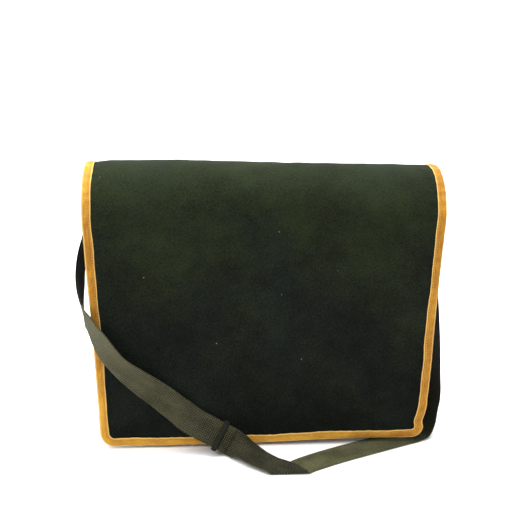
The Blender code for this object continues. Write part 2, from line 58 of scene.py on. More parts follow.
# Flap
FLAP_HALF_WIDTH = 0.198
FLAP_TAPER = 0.0114
FLAP_BOTTOM_Z = 0.008
FLAP_LEAN = 0.06
FLAP_CORNER = 0.015
ROLL_RADIUS = 0.054
ROLL_Y = 0.007
ROLL_Z = 0.268
ROLL_END = math.radians(172.0)
SPLIT_ANGLE = math.radians(45.0)
SEAM_ANGLE = math.radians(118.0)
CANVAS = 0.0012
LINING = 0.0006
TAPE = 0.0007
TAPE_WIDTH = 0.0084
HEM_INSET = 0.0008
FLAP_COLUMNS = 132
PAD_X = 0.095
BAND = 0.0009

# Body
BODY_TOP = 0.270
REAR_TOP = 0.2745
WALL_BOTTOM = 0.0016
BODY_HALF_BOTTOM = 0.170
BODY_HALF_TOP = 0.184
FRONT_Y = -0.0385
REAR_Y = 0.058
REAR_FLARE = 0.0025
FRONT_CORNER = 0.028
REAR_CORNER = 0.014
GUSSET_DIP = 0.004
PIPING_RADIUS = 0.0018

# Shoulder strap
STRAP_HALF = 0.016
STRAP_THICK = 0.0014
FOLD_Y = -0.1255
FOLD_RADIUS = 0.0016
FLOOR_LAYER_Z = 0.0011
LAYER_SHIFT = 0.00092
# Places where the webbing eases off its route: station, reach along it, shift.
EASED = [(14, 0.030, (0.0045, 0.0, 0.0060)), (38, 0.024, (-0.0065, 0.0, 0.0020))]

# Strap route: centre, then the direction across the webbing from its rear or lower edge to
# its front or upper edge.
ROUTE_TO_FOLD = [
    (-0.1866, 0.0040, 0.2370, 0.0, -1.0, 0.0),
    (-0.1866, 0.0040, 0.2480, 0.0, -1.0, 0.0),
    (-0.1867, 0.0040, 0.2580, 0.0, -1.0, 0.0),
    (-0.1890, 0.0040, 0.2670, 0.0, -1.0, 0.0),
    (-0.1940, 0.0036, 0.2720, 0.0, -1.0, 0.0),
    (-0.1990, 0.0028, 0.2660, -0.05, -1.0, 0.0),
    (-0.2013, 0.0017, 0.2540, -0.1, -1.0, 0.0),
    (-0.2030, 0.0010, 0.2430, -0.12, -0.98, 0.0),
    (-0.2070, -0.0035, 0.2230, -0.2, -0.97, 0.05),
    (-0.2093, -0.0106, 0.2040, -0.2, -0.96, 0.15),
    (-0.2093, -0.0210, 0.1860, -0.16, -0.92, 0.3),
    (-0.2080, -0.0320, 0.1690, -0.03, -0.88, 0.45),
    (-0.2060, -0.0435, 0.1600, 0.03, -0.87, 0.48),
    (-0.2037, -0.0560, 0.1545, 0.15, -0.85, 0.5),
    (-0.1970, -0.0690, 0.1470, 0.4, -0.75, 0.5),
    (-0.1845, -0.0740, 0.1325, 0.55, -0.6, 0.57),
    (-0.1680, -0.0720, 0.1125, 0.65, -0.5, 0.55),
    (-0.1520, -0.0695, 0.0965, 0.68, -0.32, 0.62),
    (-0.1370, -0.0675, 0.0830, 0.66, -0.15, 0.7),
    (-0.1190, -0.0670, 0.0685, 0.63, 0.0, 0.77),
    (-0.0980, -0.0680, 0.0508, 0.6, 0.15, 0.78),
]
KEEPER_POINT = (-0.047, -0.077, 0.020)
KEEPER_RUN = (0.878, -0.190, -0.440)
KEEPER_ACROSS = (0.55, 0.45, 0.70)
KEEPER_STEP = 0.012
ROUTE_BEFORE_FOLD = [
    (-0.0220, -0.0875, 0.0093, 0.5, 0.82, 0.22),
    (-0.0100, -0.0990, 0.0064, 0.52, 0.85, 0.1),
    (0.0045, -0.1100, 0.0043, 0.53, 0.85, 0.0),
    (0.0190, -0.1210, 0.0043, 0.52, 0.855, 0.0),
]
ROUTE_AFTER_FOLD = [
    (0.0385, -0.1140, 0.0011, 0.5, -0.86, 0.0),
    (0.0620, -0.1005, 0.0011, 0.46, -0.89, 0.0),
    (0.0840, -0.0900, 0.0011, 0.44, -0.89, 0.0),
    (0.1070, -0.0800, 0.0011, 0.42, -0.9, 0.0),
    (0.1400, -0.0660, 0.0011, 0.42, -0.9, 0.0),
    (0.1630, -0.0565, 0.0011, 0.44, -0.89, 0.0),
    (0.1840, -0.0485, 0.0012, 0.5, -0.86, 0.0),
    (0.1990, -0.0430, 0.0042, 0.55, -0.83, 0.0),
    (0.2080, -0.0375, 0.0150, 0.45, -0.88, 0.0),
    (0.2105, -0.0310, 0.0370, 0.35, -0.93, 0.0),
    (0.2105, -0.0240, 0.0750, 0.2, -0.98, 0.0),
    (0.2105, -0.0180, 0.1100, 0.1, -0.99, 0.0),
    (0.2085, -0.0110, 0.1480, 0.05, -1.0, 0.0),
    (0.2055, -0.0040, 0.1950, 0.0, -1.0, 0.0),
    (0.2035, 0.0000, 0.2280, 0.0, -1.0, 0.0),
    (0.2025, 0.0010, 0.2430, 0.0, -1.0, 0.0),
    (0.2013, 0.0017, 0.2540, 0.0, -1.0, 0.0),
    (0.1990, 0.0028, 0.2660, 0.0, -1.0, 0.0),
] + [(-x, *rest) for x, *rest in reversed(ROUTE_TO_FOLD[:5])]
KEEPER_STEPS = (-3, -2, -1, 0, 1)
KEEPER_STATION = len(ROUTE_TO_FOLD) + KEEPER_STEPS.index(0)
FOLD_STATION = len(ROUTE_TO_FOLD) + len(KEEPER_STEPS) + len(ROUTE_BEFORE_FOLD) - 1
CORNER_STATION = FOLD_STATION + 7

FLAT_LENGTH = (ROLL_Z + ROLL_RADIUS * math.sin(FLAP_LEAN) - FLAP_BOTTOM_Z) / math.cos(FLAP_LEAN)
SPLIT_LENGTH = FLAT_LENGTH + ROLL_RADIUS * (SPLIT_ANGLE - FLAP_LEAN)
SEAM_LENGTH = FLAT_LENGTH + ROLL_RADIUS * (SEAM_ANGLE - FLAP_LEAN)
END_LENGTH = FLAT_LENGTH + ROLL_RADIUS * (ROLL_END - FLAP_LEAN)


# ---- materials


class Look:
    """A Principled material whose colour, roughness and bump come from nodes."""

    def __init__(self, name, sheen=0.0, specular=0.5):
        self.material = bpy.data.materials.new(name)
        self.material.use_nodes = True
        self.tree = self.material.node_tree
        self.shader = self.tree.nodes["Principled BSDF"]
        self.shader.inputs["Sheen Weight"].default_value = sheen
        self.shader.inputs["Sheen Roughness"].default_value = 0.5
        self.shader.inputs["Specular IOR Level"].default_value = specular

    def put(self, socket, value):
        if isinstance(value, bpy.types.NodeSocket):
            self.tree.links.new(value, socket)
        elif isinstance(value, tuple) and len(value) == 3 and socket.type == "RGBA":
            socket.default_value = (*value, 1.0)
        else:
            socket.default_value = value

    def node(self, kind, inputs=None, **settings):
        made = self.tree.nodes.new(kind)
        for name, value in settings.items():
            setattr(made, name, value)
        for key, value in (inputs or {}).items():
            self.put(made.inputs[key], value)
        return made

    def calc(self, operation, a, b=0.0):
        return self.node("ShaderNodeMath", {0: a, 1: b}, operation=operation).outputs[0]

    def add(self, a, b):
        return self.calc("ADD", a, b)

    def times(self, a, b):
        return self.calc("MULTIPLY", a, b)

    def away(self, value, level):
        return self.calc("ABSOLUTE", self.calc("SUBTRACT", value, level))

    def noise(self, where, scale, detail=3.0, roughness=0.6):
        made = self.node("ShaderNodeTexNoise", {"Vector": where, "Scale": scale,
                                                "Detail": detail, "Roughness": roughness})
        return made.outputs["Fac"]

    def spread(self, value, low, high, to_low=0.0, to_high=1.0):
        made = self.node("ShaderNodeMapRange", {0: value, 1: low, 2: high, 3: to_low, 4: to_high})
        return made.outputs[0]

    def fibres(self, place, x, y, detail):
        """Noise drawn out in one direction: x and y are its scales across and along."""
        return self.noise(self.stretched(place, x, y), 1.0, detail)

    def stepped(self, tone, place, steps):
        """Tone that changes, in each step, from one value to another between two places."""
        for first, last, before, after in steps:
            tone = self.add(tone, self.spread(place, first, last, before, after))
        return tone

    def mix(self, factor, a, b):
        made = self.node("ShaderNodeMix", data_type="RGBA")
        self.put(made.inputs[0], factor)
        self.put(made.inputs[6], a)
        self.put(made.inputs[7], b)
        return made.outputs[2]

    def weave_place(self):
        """Along-cloth coordinates in metres: across, along, and both as a vector."""
        place = self.node("ShaderNodeUVMap", uv_map="weave").outputs["UV"]
        parts = self.node("ShaderNodeSeparateXYZ", {0: place})
        return parts.outputs[0], parts.outputs[1], place

    def stretched(self, place, x, y):
        return self.node("ShaderNodeMapping", {"Vector": place, "Scale": (x, y, 1.0)}).outputs[0]

    def object_place(self):
        return self.node("ShaderNodeTexCoord").outputs["Object"]

    def finish(self, color, roughness, height=None, depth=0.0002):
        self.put(self.shader.inputs["Base Color"], color)
        self.put(self.shader.inputs["Roughness"], roughness)
        if height is not None:
            bump = self.node("ShaderNodeBump", {"Height": height, "Distance": depth,
                                                "Strength": 1.0})
            self.put(self.shader.inputs["Normal"], bump.outputs[0])
        return self.material


def waves(look, value, pitch):
    return look.calc("SINE", look.times(value, 2.0 * math.pi / pitch))


def canvas_look(name, dark, light, cool, lint, worn=1.0):
    """Heavy plain-weave cotton: uneven threads, slubs, dye variation and a little lint, with painted
    shade darkening it towards the bottom and greener painted light towards the top.
    """
    look = Look(name, sheen=0.02, specular=0.05)
    u, v, place = look.weave_place()
    warp = look.fibres(place, 1100.0, 330.0, 2.0)
    weft = look.fibres(place, 330.0, 1100.0, 2.0)
    cross = look.times(waves(look, u, WARP_PITCH), waves(look, v, WARP_PITCH))
    threads = look.add(look.times(cross, 0.30), look.add(warp, weft))
    blotch = look.noise(place, 11.0, 5.0, 0.62)
    patch = look.noise(place, 60.0, 5.0, 0.65)
    tint = look.noise(look.stretched(place, 1.0, 0.8), 9.0)
    tone = look.add(look.times(blotch, 0.75), look.times(patch, 0.35))
    tone = look.add(tone, look.times(look.calc("SUBTRACT", threads, 1.0), 0.55))
    grain = look.noise(place, 420.0, 2.0, 0.7)
    tone = look.add(tone, look.spread(grain, 0.2, 0.8, -0.19, 0.19))
    # Painted shade and light: darker towards the bottom and lighter towards the top, standing in for
    # light falling from above; worn sets its strength as well as the lint's.
    tone = look.add(tone, look.spread(v, 0.02, 0.34, -0.20 * worn, 0.12 * worn))
    # Painted light: the upper part is tinted towards the greener of the two pale colours, as the top
    # of the roll looks under light from above.
    tint = look.add(tint, look.spread(v, 0.17, 0.30, 0.06, -0.12))
    bright = look.mix(look.spread(tint, 0.40, 0.60), light, cool)
    shade = look.mix(look.spread(tone, 0.30, 0.86), dark, bright)
    spots = look.node("ShaderNodeTexVoronoi", {"Vector": place, "Scale": 62.0}).outputs["Distance"]
    rare = look.noise(place, 31.0, 0.0)
    lint_mask = look.times(look.spread(spots, 0.045, 0.02), look.spread(rare, 0.60, 0.64))
    color = look.mix(look.times(lint_mask, 0.7 * worn), shade, lint)
    height = look.add(threads, look.times(patch, 0.5))
    return look.finish(color, look.spread(patch, 0.3, 0.7, 0.86, 0.97), height, 0.00022)


def tape_look():
    """Mustard cotton twill tape, with painted shade along its sides and in its stitched groove, and
    painted highlights along its bottom hem and on its edges.
    """
    look = Look("mustard_twill_tape", sheen=0.05, specular=0.15)
    u, v, place = look.weave_place()
    twill = waves(look, look.add(u, v), TWILL_PITCH)
    thread = look.fibres(place, 500.0, 120.0, 2.0)
    blotch = look.noise(place, 38.0, 4.0, 0.65)
    tone = look.add(look.times(blotch, 0.85), look.times(thread, 0.45))
    tone = look.add(tone, look.times(twill, 0.06))
    # Painted light and shade along the tape: lighter over the top of the left side, darkest down the
    # left side where the strap's shadow falls, lighter along the bottom hem and darker again towards
    # the right side.
    tone = look.stepped(tone, v, [(0.04, 0.13, 0.14, -0.16), (0.27, 0.32, 0.0, 0.30),
                                  (0.65, 0.71, 0.0, -0.22)])
    color = look.mix(look.spread(tone, 0.40, 0.90), (0.28, 0.110, 0.008), (0.60, 0.310, 0.034))
    # Pale painted highlights where light catches the tape's inner edge and its outer fold, and a
    # painted shadow line in the groove along its stitching.
    painted_highlight = (0.86, 0.60, 0.22)
    lip = look.spread(u, 0.0013, 0.0005)
    color = look.mix(look.times(lip, 0.55), color, painted_highlight)
    crown = look.spread(look.away(u, 0.0094), 0.0012, 0.0004)
    color = look.mix(look.times(crown, 0.45), color, painted_highlight)
    groove = look.calc("SUBTRACT", 1.0, look.spread(look.away(u, 0.0024), 0.0001, 0.0008))
    color = look.mix(look.times(groove, 0.45), color, (0.30, 0.085, 0.006))
    height = look.add(look.times(twill, 0.35), thread)
    return look.finish(color, look.spread(blotch, 0.3, 0.7, 0.66, 0.85), height, 0.00016)


def webbing_look(name, dark, light, painted_light_steps):
    """Cotton webbing in a coarse weave: raised flecks and fuzz, with painted light and shade that
    come and go along its length.

    Each row of painted light and shade changes the tone from one value to another between two
    lengths.
    """
    look = Look(name, sheen=0.05, specular=0.10)
    u, v, place = look.weave_place()
    rising = waves(look, look.add(u, v), FLECK_PITCH)
    falling = waves(look, look.calc("SUBTRACT", u, v), FLECK_PITCH)
    flecks = look.times(rising, falling)
    fuzz = look.fibres(place, 620.0, 420.0, 3.0)
    blotch = look.fibres(place, 60.0, 22.0, 4.0)
    vague = look.fibres(place, 90.0, 70.0, 2.0)
    fleck_tone = look.times(flecks, look.spread(vague, 0.35, 0.65, 0.10, 0.34))
    tone = look.add(look.times(fuzz, 0.55), look.times(blotch, 0.65))
    tone = look.add(tone, fleck_tone)
    # Painted light and shade: the tone steps lighter or darker along the strap's length.
    tone = look.stepped(tone, v, painted_light_steps)
    color = look.mix(look.spread(tone, 0.36, 0.96), dark, light)
    height = look.add(look.times(flecks, 1.1), fuzz)
    return look.finish(color, look.spread(fuzz, 0.3, 0.7, 0.80, 0.96), height, 0.00026)


def thread_look(name, dark, light):
    look = Look(name, sheen=0.2, specular=0.3)
    place = look.object_place()
    twist = look.noise(place, 2400.0, 2.0)
    tone = look.noise(place, 60.0, 2.0)
    color = look.mix(look.times(look.add(twist, tone), 0.5), dark, light)
    return look.finish(color, look.spread(twist, 0.3, 0.7, 0.6, 0.8), twist, 0.0001)


def plastic_look():
    look = Look("moulded_keeper", specular=0.12)
    place = look.object_place()
    grain = look.noise(place, 1800.0, 2.0)
    scuff = look.noise(place, 140.0, 4.0, 0.7)
    color = look.mix(look.spread(scuff, 0.45, 0.75), (0.0075, 0.0076, 0.0045), (0.021, 0.021, 0.0125))
    return look.finish(color, look.spread(scuff, 0.35, 0.75, 0.55, 0.75), grain, 0.00006)


def metal_look():
    look = Look("blackened_brass", specular=0.5)
    look.shader.inputs["Metallic"].default_value = 1.0
    place = look.object_place()
    worn = look.noise(place, 420.0, 4.0, 0.7)
    fine = look.noise(place, 3000.0, 2.0)
    color = look.mix(look.spread(worn, 0.50, 0.66), (0.045, 0.036, 0.022), (0.32, 0.23, 0.11))
    return look.finish(color, look.spread(worn, 0.35, 0.7, 0.50, 0.30), fine, 0.00003)


def board_look():
    look = Look("fibre_board", specular=0.2)
    place = look.object_place()
    fibre = look.noise(place, 700.0, 5.0, 0.75)
    blotch = look.noise(place, 30.0, 3.0)
    tone = look.times(look.add(fibre, blotch), 0.5)
    color = look.mix(look.spread(tone, 0.35, 0.65), (0.085, 0.058, 0.033), (0.17, 0.12, 0.075))
    return look.finish(color, look.spread(fibre, 0.3, 0.7, 0.75, 0.9), fibre, 0.00015)


def pile_look(name, dark, light, cell):
    """Hook or loop tape: a dense pile of tiny ends."""
    look = Look(name, sheen=0.25, specular=0.25)
    place = look.object_place()
    ends = look.node("ShaderNodeTexVoronoi", {"Vector": place, "Scale": 1.0 / cell})
    ends = ends.outputs["Distance"]
    blotch = look.noise(place, 120.0, 3.0)
    tone = look.add(look.times(ends, 0.6), look.times(blotch, 0.5))
    color = look.mix(look.spread(tone, 0.3, 0.8), light, dark)
    return look.finish(color, look.spread(blotch, 0.3, 0.7, 0.85, 0.95), ends, -0.0004)


# ---- mesh helpers


def unit(vectors):
    return vectors / np.linalg.norm(vectors, axis=-1, keepdims=True)


def run_of(points):
    """Length along a line of points, from the first point to each."""
    return np.concatenate([[0.0], np.cumsum(np.linalg.norm(np.diff(points, axis=0), axis=1))])


def grid_of(*values):
    """Values stacked over the whole grid that they span."""
    return np.stack(np.broadcast_arrays(*values), axis=-1)


def place_piece(piece, slot, body, *nodes):
    """Name the nodes a piece replaces, if any, and the body it rides; its slot is not used."""
    if nodes:
        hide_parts(*nodes)
    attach(piece, body)


def tube_faces(rings, sides, base=0):
    """Faces round a tube of rings, then its two end caps."""
    faces = []
    for ring in range(rings - 1):
        for k in range(sides):
            a = base + ring * sides + k
            b = base + ring * sides + (k + 1) % sides
            faces.append([a, b, b + sides, a + sides])
    faces.append([base + k for k in reversed(range(sides))])
    faces.append([base + (rings - 1) * sides + k for k in range(sides)])
    return faces


def new_piece(name, verts, faces, uv, looks, face_looks=None, sharp=50.0):
    mesh = bpy.data.meshes.new(name)
    mesh.from_pydata(np.asarray(verts).tolist(), [], faces)
    for look in looks:
        mesh.materials.append(look)
    if face_looks is not None:
        mesh.polygons.foreach_set("material_index", np.asarray(face_looks, np.int32))
    if uv is not None:
        layer = mesh.uv_layers.new(name="weave")
        corner = np.zeros(len(mesh.loops), np.int32)
        mesh.loops.foreach_get("vertex_index", corner)
        layer.data.foreach_set("uv", np.asarray(uv, np.float32)[corner].ravel())
    mesh.validate()
    mesh.shade_smooth()
    mesh.set_sharp_from_angle(angle=math.radians(sharp))
    item = bpy.data.objects.new(name, mesh)
    bpy.context.scene.collection.objects.link(item)
    return item


def grid_normals(points, wrap):
    """Unit normals of a grid of points: across its columns cross along its rows."""
    if wrap:
        across = np.roll(points, -1, axis=1) - np.roll(points, 1, axis=1)
    else:
        across = np.gradient(points, axis=1)
    along = np.gradient(points, axis=0)
    normal = np.cross(across, along)
    return normal / np.maximum(np.linalg.norm(normal, axis=2, keepdims=True), 1e-12)


def grid_quads(rows, columns, spans):
    """Quads between the points of a grid, with as many to a row as it has spans."""
    row = np.repeat(np.arange(rows - 1), spans)
    column = np.tile(np.arange(spans), rows - 1)
    after = (column + 1) % columns
    return np.stack([row * columns + column, row * columns + after,
                     (row + 1) * columns + after, (row + 1) * columns + column], axis=1)


def sheet_piece(name, points, uv, thickness, looks, offset=-1.0, wrap=False):
    """Closed cloth from a grid of points, thick inwards (-1), centred (0) or outwards (1)."""
    rows, columns = points.shape[:2]
    normal = grid_normals(points, wrap)
    outer = points + normal * thickness * (offset + 1.0) / 2.0
    inner = points + normal * thickness * (offset - 1.0) / 2.0
    verts = np.concatenate([outer.reshape(-1, 3), inner.reshape(-1, 3)])
    count = rows * columns
    spans = columns if wrap else columns - 1
    quad = grid_quads(rows, columns, spans)
    faces = quad.tolist() + (quad[:, ::-1] + count).tolist()
    kinds = [0] * len(quad) + [len(looks) - 1] * len(quad)
    rims = []
    for low, flip in ((0, False), (count - columns, True)):
        for k in range(spans):
            a, b = low + k, low + (k + 1) % columns
            rims.append((a, b) if flip else (b, a))
    if not wrap:
        for low, flip in ((0, True), (columns - 1, False)):
            for k in range(rows - 1):
                a, b = low + k * columns, low + (k + 1) * columns
                rims.append((a, b) if flip else (b, a))
    faces += [[a, b, b + count, a + count] for a, b in rims]
    kinds += [0] * len(rims)
    uv = np.concatenate([uv.reshape(-1, 2), uv.reshape(-1, 2)])
    return new_piece(name, verts, faces, uv, looks, kinds)


def ripple(u, v, seed, low, high):
    """Smooth seeded unevenness, about -1 to 1, with wavelengths between low and high."""
    random = np.random.default_rng(seed)
    total = np.zeros(np.broadcast(u, v).shape)
    for _ in range(RIPPLE_WAVES):
        length = low * (high / low) ** random.random()
        angle = random.random() * 2.0 * math.pi
        phase = random.random() * 2.0 * math.pi
        run = (np.cos(angle) * u + np.sin(angle) * v) / length * 2.0 * math.pi
        total += np.sin(run + phase)
    return total / math.sqrt(RIPPLE_WAVES * 2.0)


def smoothstep(value):
    value = np.clip(value, 0.0, 1.0)
    return value * value * (3.0 - 2.0 * value)


def stitches(name, path, normal, look, pitch=STITCH_PITCH):
    """A row of sewn stitches lying along a path of points."""
    lengths = run_of(path)
    count = max(1, int(lengths[-1] / pitch))
    starts = (np.arange(count) + 0.5) * lengths[-1] / count
    sides = 6
    rings = np.array([(-0.40, 0.25, -0.5), (-0.33, 0.8, 0.15), (-0.15, 1.0, 0.62),
                      (0.15, 1.0, 0.62), (0.33, 0.8, 0.15), (0.40, 0.25, -0.5)])
    turn = np.arange(sides) / sides * 2.0 * math.pi
    verts = []
    faces = []

    def at(length):
        return np.stack([np.interp(length, lengths, path[:, k]) for k in range(3)], axis=-1)

    run = unit(at(starts + 0.0005) - at(starts - 0.0005))
    up = unit(np.stack([np.interp(starts, lengths, normal[:, k]) for k in range(3)], axis=-1))
    side = np.cross(up, run)
    for k in range(count):
        base = len(verts)
        for along, radius, lift in rings:
            middle = at(starts[k] + along * pitch) + up[k] * STITCH_RADIUS * lift
            for angle in turn:
                out = math.cos(angle) * side[k] + math.sin(angle) * up[k]
                verts.append(middle + STITCH_RADIUS * radius * out)
        faces += tube_faces(len(rings), sides, base)
    return new_piece(name, verts, faces, None, [look], sharp=80.0)


def join(name, pieces):
    """One piece from several with the same look."""
    verts = []
    faces = []
    for piece in pieces:
        base = len(verts)
        verts += [tuple(v.co) for v in piece.data.vertices]
        faces += [[base + k for k in p.vertices] for p in piece.data.polygons]
        look = piece.data.materials[0]
        bpy.data.objects.remove(piece)
    return new_piece(name, verts, faces, None, [look], sharp=80.0)


# ---- flap


def pad_window(x, height, level):
    """1 where a closure pad holds the cloth flat, 0 away from it."""
    return np.exp(-(((np.abs(x) - PAD_X) / 0.040) ** 6) - ((height - level) / 0.024) ** 6)


def flap_half(length):
    return FLAP_HALF_WIDTH - FLAP_TAPER * np.maximum(0.0, 1.0 - length / FLAT_LENGTH)


def flap_swell(length, x):
    """How far the cloth stands out of its plain shape: slow waves and puckers at the tape."""
    free = smoothstep(length / 0.05) * smoothstep((SPLIT_LENGTH - 0.02 - length) / 0.06)
    slow = 0.0013 * ripple(length, x, 11, 0.10, 0.26)
    small = 0.00035 * ripple(length, x, 12, 0.025, 0.06)
    rolled = smoothstep((length - FLAT_LENGTH + 0.02) / 0.05)
    slump = 0.0011 * np.sin(x / 0.062 + 0.9) * rolled
    edge = np.minimum(flap_half(length) - np.abs(x), np.maximum(length, 0.0))
    along = np.where(edge < length - 0.0001, length, x)
    pucker = 0.00030 * np.sin(along / 0.0021 + 2.0 * np.sin(along / 0.016))
    pucker = pucker * smoothstep((0.024 - edge) / 0.012)
    crown = smoothstep((length - FLAT_LENGTH + 0.03) / 0.08)
    full = 0.0044 * smoothstep((0.05 - x) / 0.16) * (0.3 + 0.7 * smoothstep((0.198 + x) / 0.03))
    end = smoothstep((END_LENGTH - length) / 0.03) * (1.0 - pad_window(x, length, 0.077))
    return ((0.35 + 0.65 * free) * slow + small + slump + pucker + full * crown) * end


def flap_give(length, x):
    """The hem hangs lower at the left, the sides spread a little, the right corner is pinched."""
    share = x / flap_half(length)
    drop = 0.0036 * smoothstep((0.10 - x) / 0.16) * np.clip(1.0 - length / 0.15, 0.0, 1.0)
    flare = 0.0026 + 0.0020 * smoothstep((0.16 - length) / 0.08)
    pinch = 0.0030 * np.exp(-(((length - 0.020) / 0.009) ** 2))
    right = (flare - pinch) * np.clip(share, 0.0, 1.0) ** 3
    left = 0.0020 * np.clip(-share, 0.0, 1.0) ** 3 * smoothstep((length - 0.12) / 0.10)
    return drop, right - left


def flap_at(length, x, off):
    """Points on the flap at a length up from its bottom edge, off metres out of its face."""
    length, x, off = np.broadcast_arrays(np.asarray(length, float), x, off)
    drop, spread = flap_give(length, x)
    down = np.maximum(FLAT_LENGTH - length, 0.0) + drop
    angle = FLAP_LEAN + np.maximum(length - FLAT_LENGTH, 0.0) / ROLL_RADIUS
    reach = ROLL_RADIUS + off + flap_swell(length, x)
    y = ROLL_Y - reach * np.cos(angle) - down * math.sin(FLAP_LEAN)
    z = ROLL_Z + reach * np.sin(angle) - down * math.cos(FLAP_LEAN)
    return np.stack([x + spread, y, z], axis=-1)


def flap_normal(length):
    angle = FLAP_LEAN + np.maximum(np.asarray(length, float) - FLAT_LENGTH, 0.0) / ROLL_RADIUS
    return np.stack([np.zeros_like(angle), -np.cos(angle), np.sin(angle)], axis=-1)


def flap_cloth(name, node, lengths, off, thickness, look):
    """A run of the flap's cloth, its lower corners rounded."""
    half = flap_half(lengths) - HEM_INSET
    rise = np.clip(FLAP_CORNER - (lengths - HEM_INSET), 0.0, FLAP_CORNER)
    half = half - (FLAP_CORNER - np.sqrt(FLAP_CORNER**2 - rise**2))
    x = half[:, None] * np.linspace(-1.0, 1.0, FLAP_COLUMNS + 1)[None, :]
    length = np.broadcast_to(lengths[:, None], x.shape)
    points = flap_at(length, x, off)
    piece = sheet_piece(name, points, grid_of(x, length), thickness, [look])
    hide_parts(node)
    return piece


def front_lengths():
    corner = HEM_INSET + FLAP_CORNER * (1.0 - np.cos(np.linspace(0.0, math.pi / 2.0, 10)))
    return np.concatenate([corner[:-1], np.linspace(corner[-1], SEAM_LENGTH, 122)])


def rear_lengths():
    return np.linspace(SEAM_LENGTH, END_LENGTH, 22)


def edge_line(first, last, sign):
    """Edge places from one length to another along a side: length, x, and inward direction."""
    count = max(2, int(abs(last - first) / 0.0022))
    length = np.linspace(first, last, count)
    x = sign * flap_half(length)
    inward = np.stack([np.zeros(count), np.full(count, -sign)], axis=-1)
    return np.column_stack([length, x, inward])


def corner_line(sign, first, last):
    turn = np.linspace(first, last, 12)
    centre = flap_half(np.array([FLAP_CORNER]))[0] - FLAP_CORNER
    length = FLAP_CORNER - FLAP_CORNER * np.sin(turn)
    x = sign * (centre + FLAP_CORNER * np.cos(turn))
    return np.column_stack([length, x, np.sin(turn), -sign * np.cos(turn)])


def bottom_line():
    reach = flap_half(np.array([FLAP_CORNER]))[0] - FLAP_CORNER
    x = np.linspace(-reach, reach, 156)[1:-1]
    none = np.zeros_like(x)
    return np.column_stack([none, x, np.ones_like(x), none])


def front_edge():
    half = math.pi / 2.0
    return np.concatenate([
        edge_line(SEAM_LENGTH, FLAP_CORNER, -1.0)[:-1],
        corner_line(-1.0, 0.0, half),
        bottom_line(),
        corner_line(1.0, half, 0.0),
        edge_line(FLAP_CORNER, SEAM_LENGTH, 1.0)[1:],
    ])


def rear_edge(sign):
    return edge_line(SEAM_LENGTH, END_LENGTH - 0.003, sign)


def taped(name, edge, reverse, sew_name):
    """Folded tape over an edge, its free edges turned in and sewn through."""
    run = run_of(edge[:, :2])
    back = -CANVAS - 2.0 * GAP - LINING
    width = TAPE_WIDTH
    sew = width - 0.0022
    section = np.array([
        (width, 0.00030), (width - 0.0004, 0.00072), (width - 0.0012, 0.00070), (sew, 0.00052),
        (sew - 0.0012, 0.00082), (0.0050, 0.00118), (0.0026, 0.00122), (0.0010, 0.00098),
        (-0.0006, 0.00030), (-0.0012, back / 2.0), (-0.0006, back - 0.00040),
        (0.0012, back - 0.00090), (0.0040, back - 0.00095), (sew, back - 0.00055),
        (width - 0.0004, back - 0.00075), (width, back - 0.00040)])
    wander = 0.00035 * np.sin(run / 0.019) + 0.00022 * np.sin(run / 0.0071 + 1.0)
    scallop = 0.00009 * np.sin(run * 2.0 * math.pi / STITCH_PITCH)
    share = np.clip(section[:, 0] / width, 0.0, 1.0)
    inward = section[None, :, 0] + wander[:, None] * share[None, :]
    lift = section[None, :, 1] + (scallop[:, None] * share * np.sign(section[:, 1]))
    length = edge[:, 0, None] + inward * edge[:, 2, None]
    x = edge[:, 1, None] + inward * edge[:, 3, None]
    points = flap_at(length, x, lift)
    around = run_of(section)
    uv = grid_of(around[None, :], run[:, None])
    if reverse:
        points = points[:, ::-1]
        uv = uv[:, ::-1]
    piece = sheet_piece(name, points, uv, TAPE, [TAPE_CLOTH], 0.0)
    line = sew + wander
    length = edge[:, 0] + line * edge[:, 2]
    x = edge[:, 1] + line * edge[:, 3]
    above = flap_at(length, x, 0.00052 + TAPE / 2.0)
    below = flap_at(length, x, back - 0.00055 - TAPE / 2.0)
    outward = flap_normal(length)
    sewn = join(sew_name, [stitches(sew_name + "_a", above, outward, GOLD_THREAD),
                           stitches(sew_name + "_b", below, -outward, GOLD_THREAD)])
    return piece, sewn


def build_flap():
    lower = (0.0, *flap_at(FLAT_LENGTH + 0.004, 0.0, 0.0)[1:])
    upper = (0.0, *flap_at(SPLIT_LENGTH + 0.022, 0.0, 0.0)[1:])
    inner = -CANVAS - GAP
    front = front_lengths()
    canvas = flap_cloth("flap_front_cloth", "flap_front_canvas", front, 0.0, CANVAS, CANVAS_OUT)
    lining = flap_cloth("flap_front_lining_cloth", "flap_front_lining", front, inner, LINING,
                        CANVAS_IN)
    tape, sewn = taped("flap_front_tape", front_edge(), False, "flap_front_stitching")
    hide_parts("flap_front_binding")
    for piece, slot in ((canvas, "canvas"), (lining, "lining"), (tape, "tape"), (sewn, "tape")):
        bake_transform(piece)
    rear = rear_lengths()
    canvas = flap_cloth("flap_top_cloth", "flap_top_canvas", rear, 0.0, CANVAS, CANVAS_OUT)
    lining = flap_cloth("flap_top_lining_cloth", "flap_top_lining", rear, inner, LINING, CANVAS_IN)
    place_piece(canvas, "canvas", "flap_top")
    place_piece(lining, "lining", "flap_top")
    for side, sign in (("left", -1.0), ("right", 1.0)):
        tape, sewn = taped(f"flap_top_tape_{side}", rear_edge(sign), sign < 0.0,
                           f"flap_top_stitching_{side}")
        place_piece(tape, "tape", "flap_top", f"flap_top_binding_{side}")
        place_piece(sewn, "tape", "flap_top")


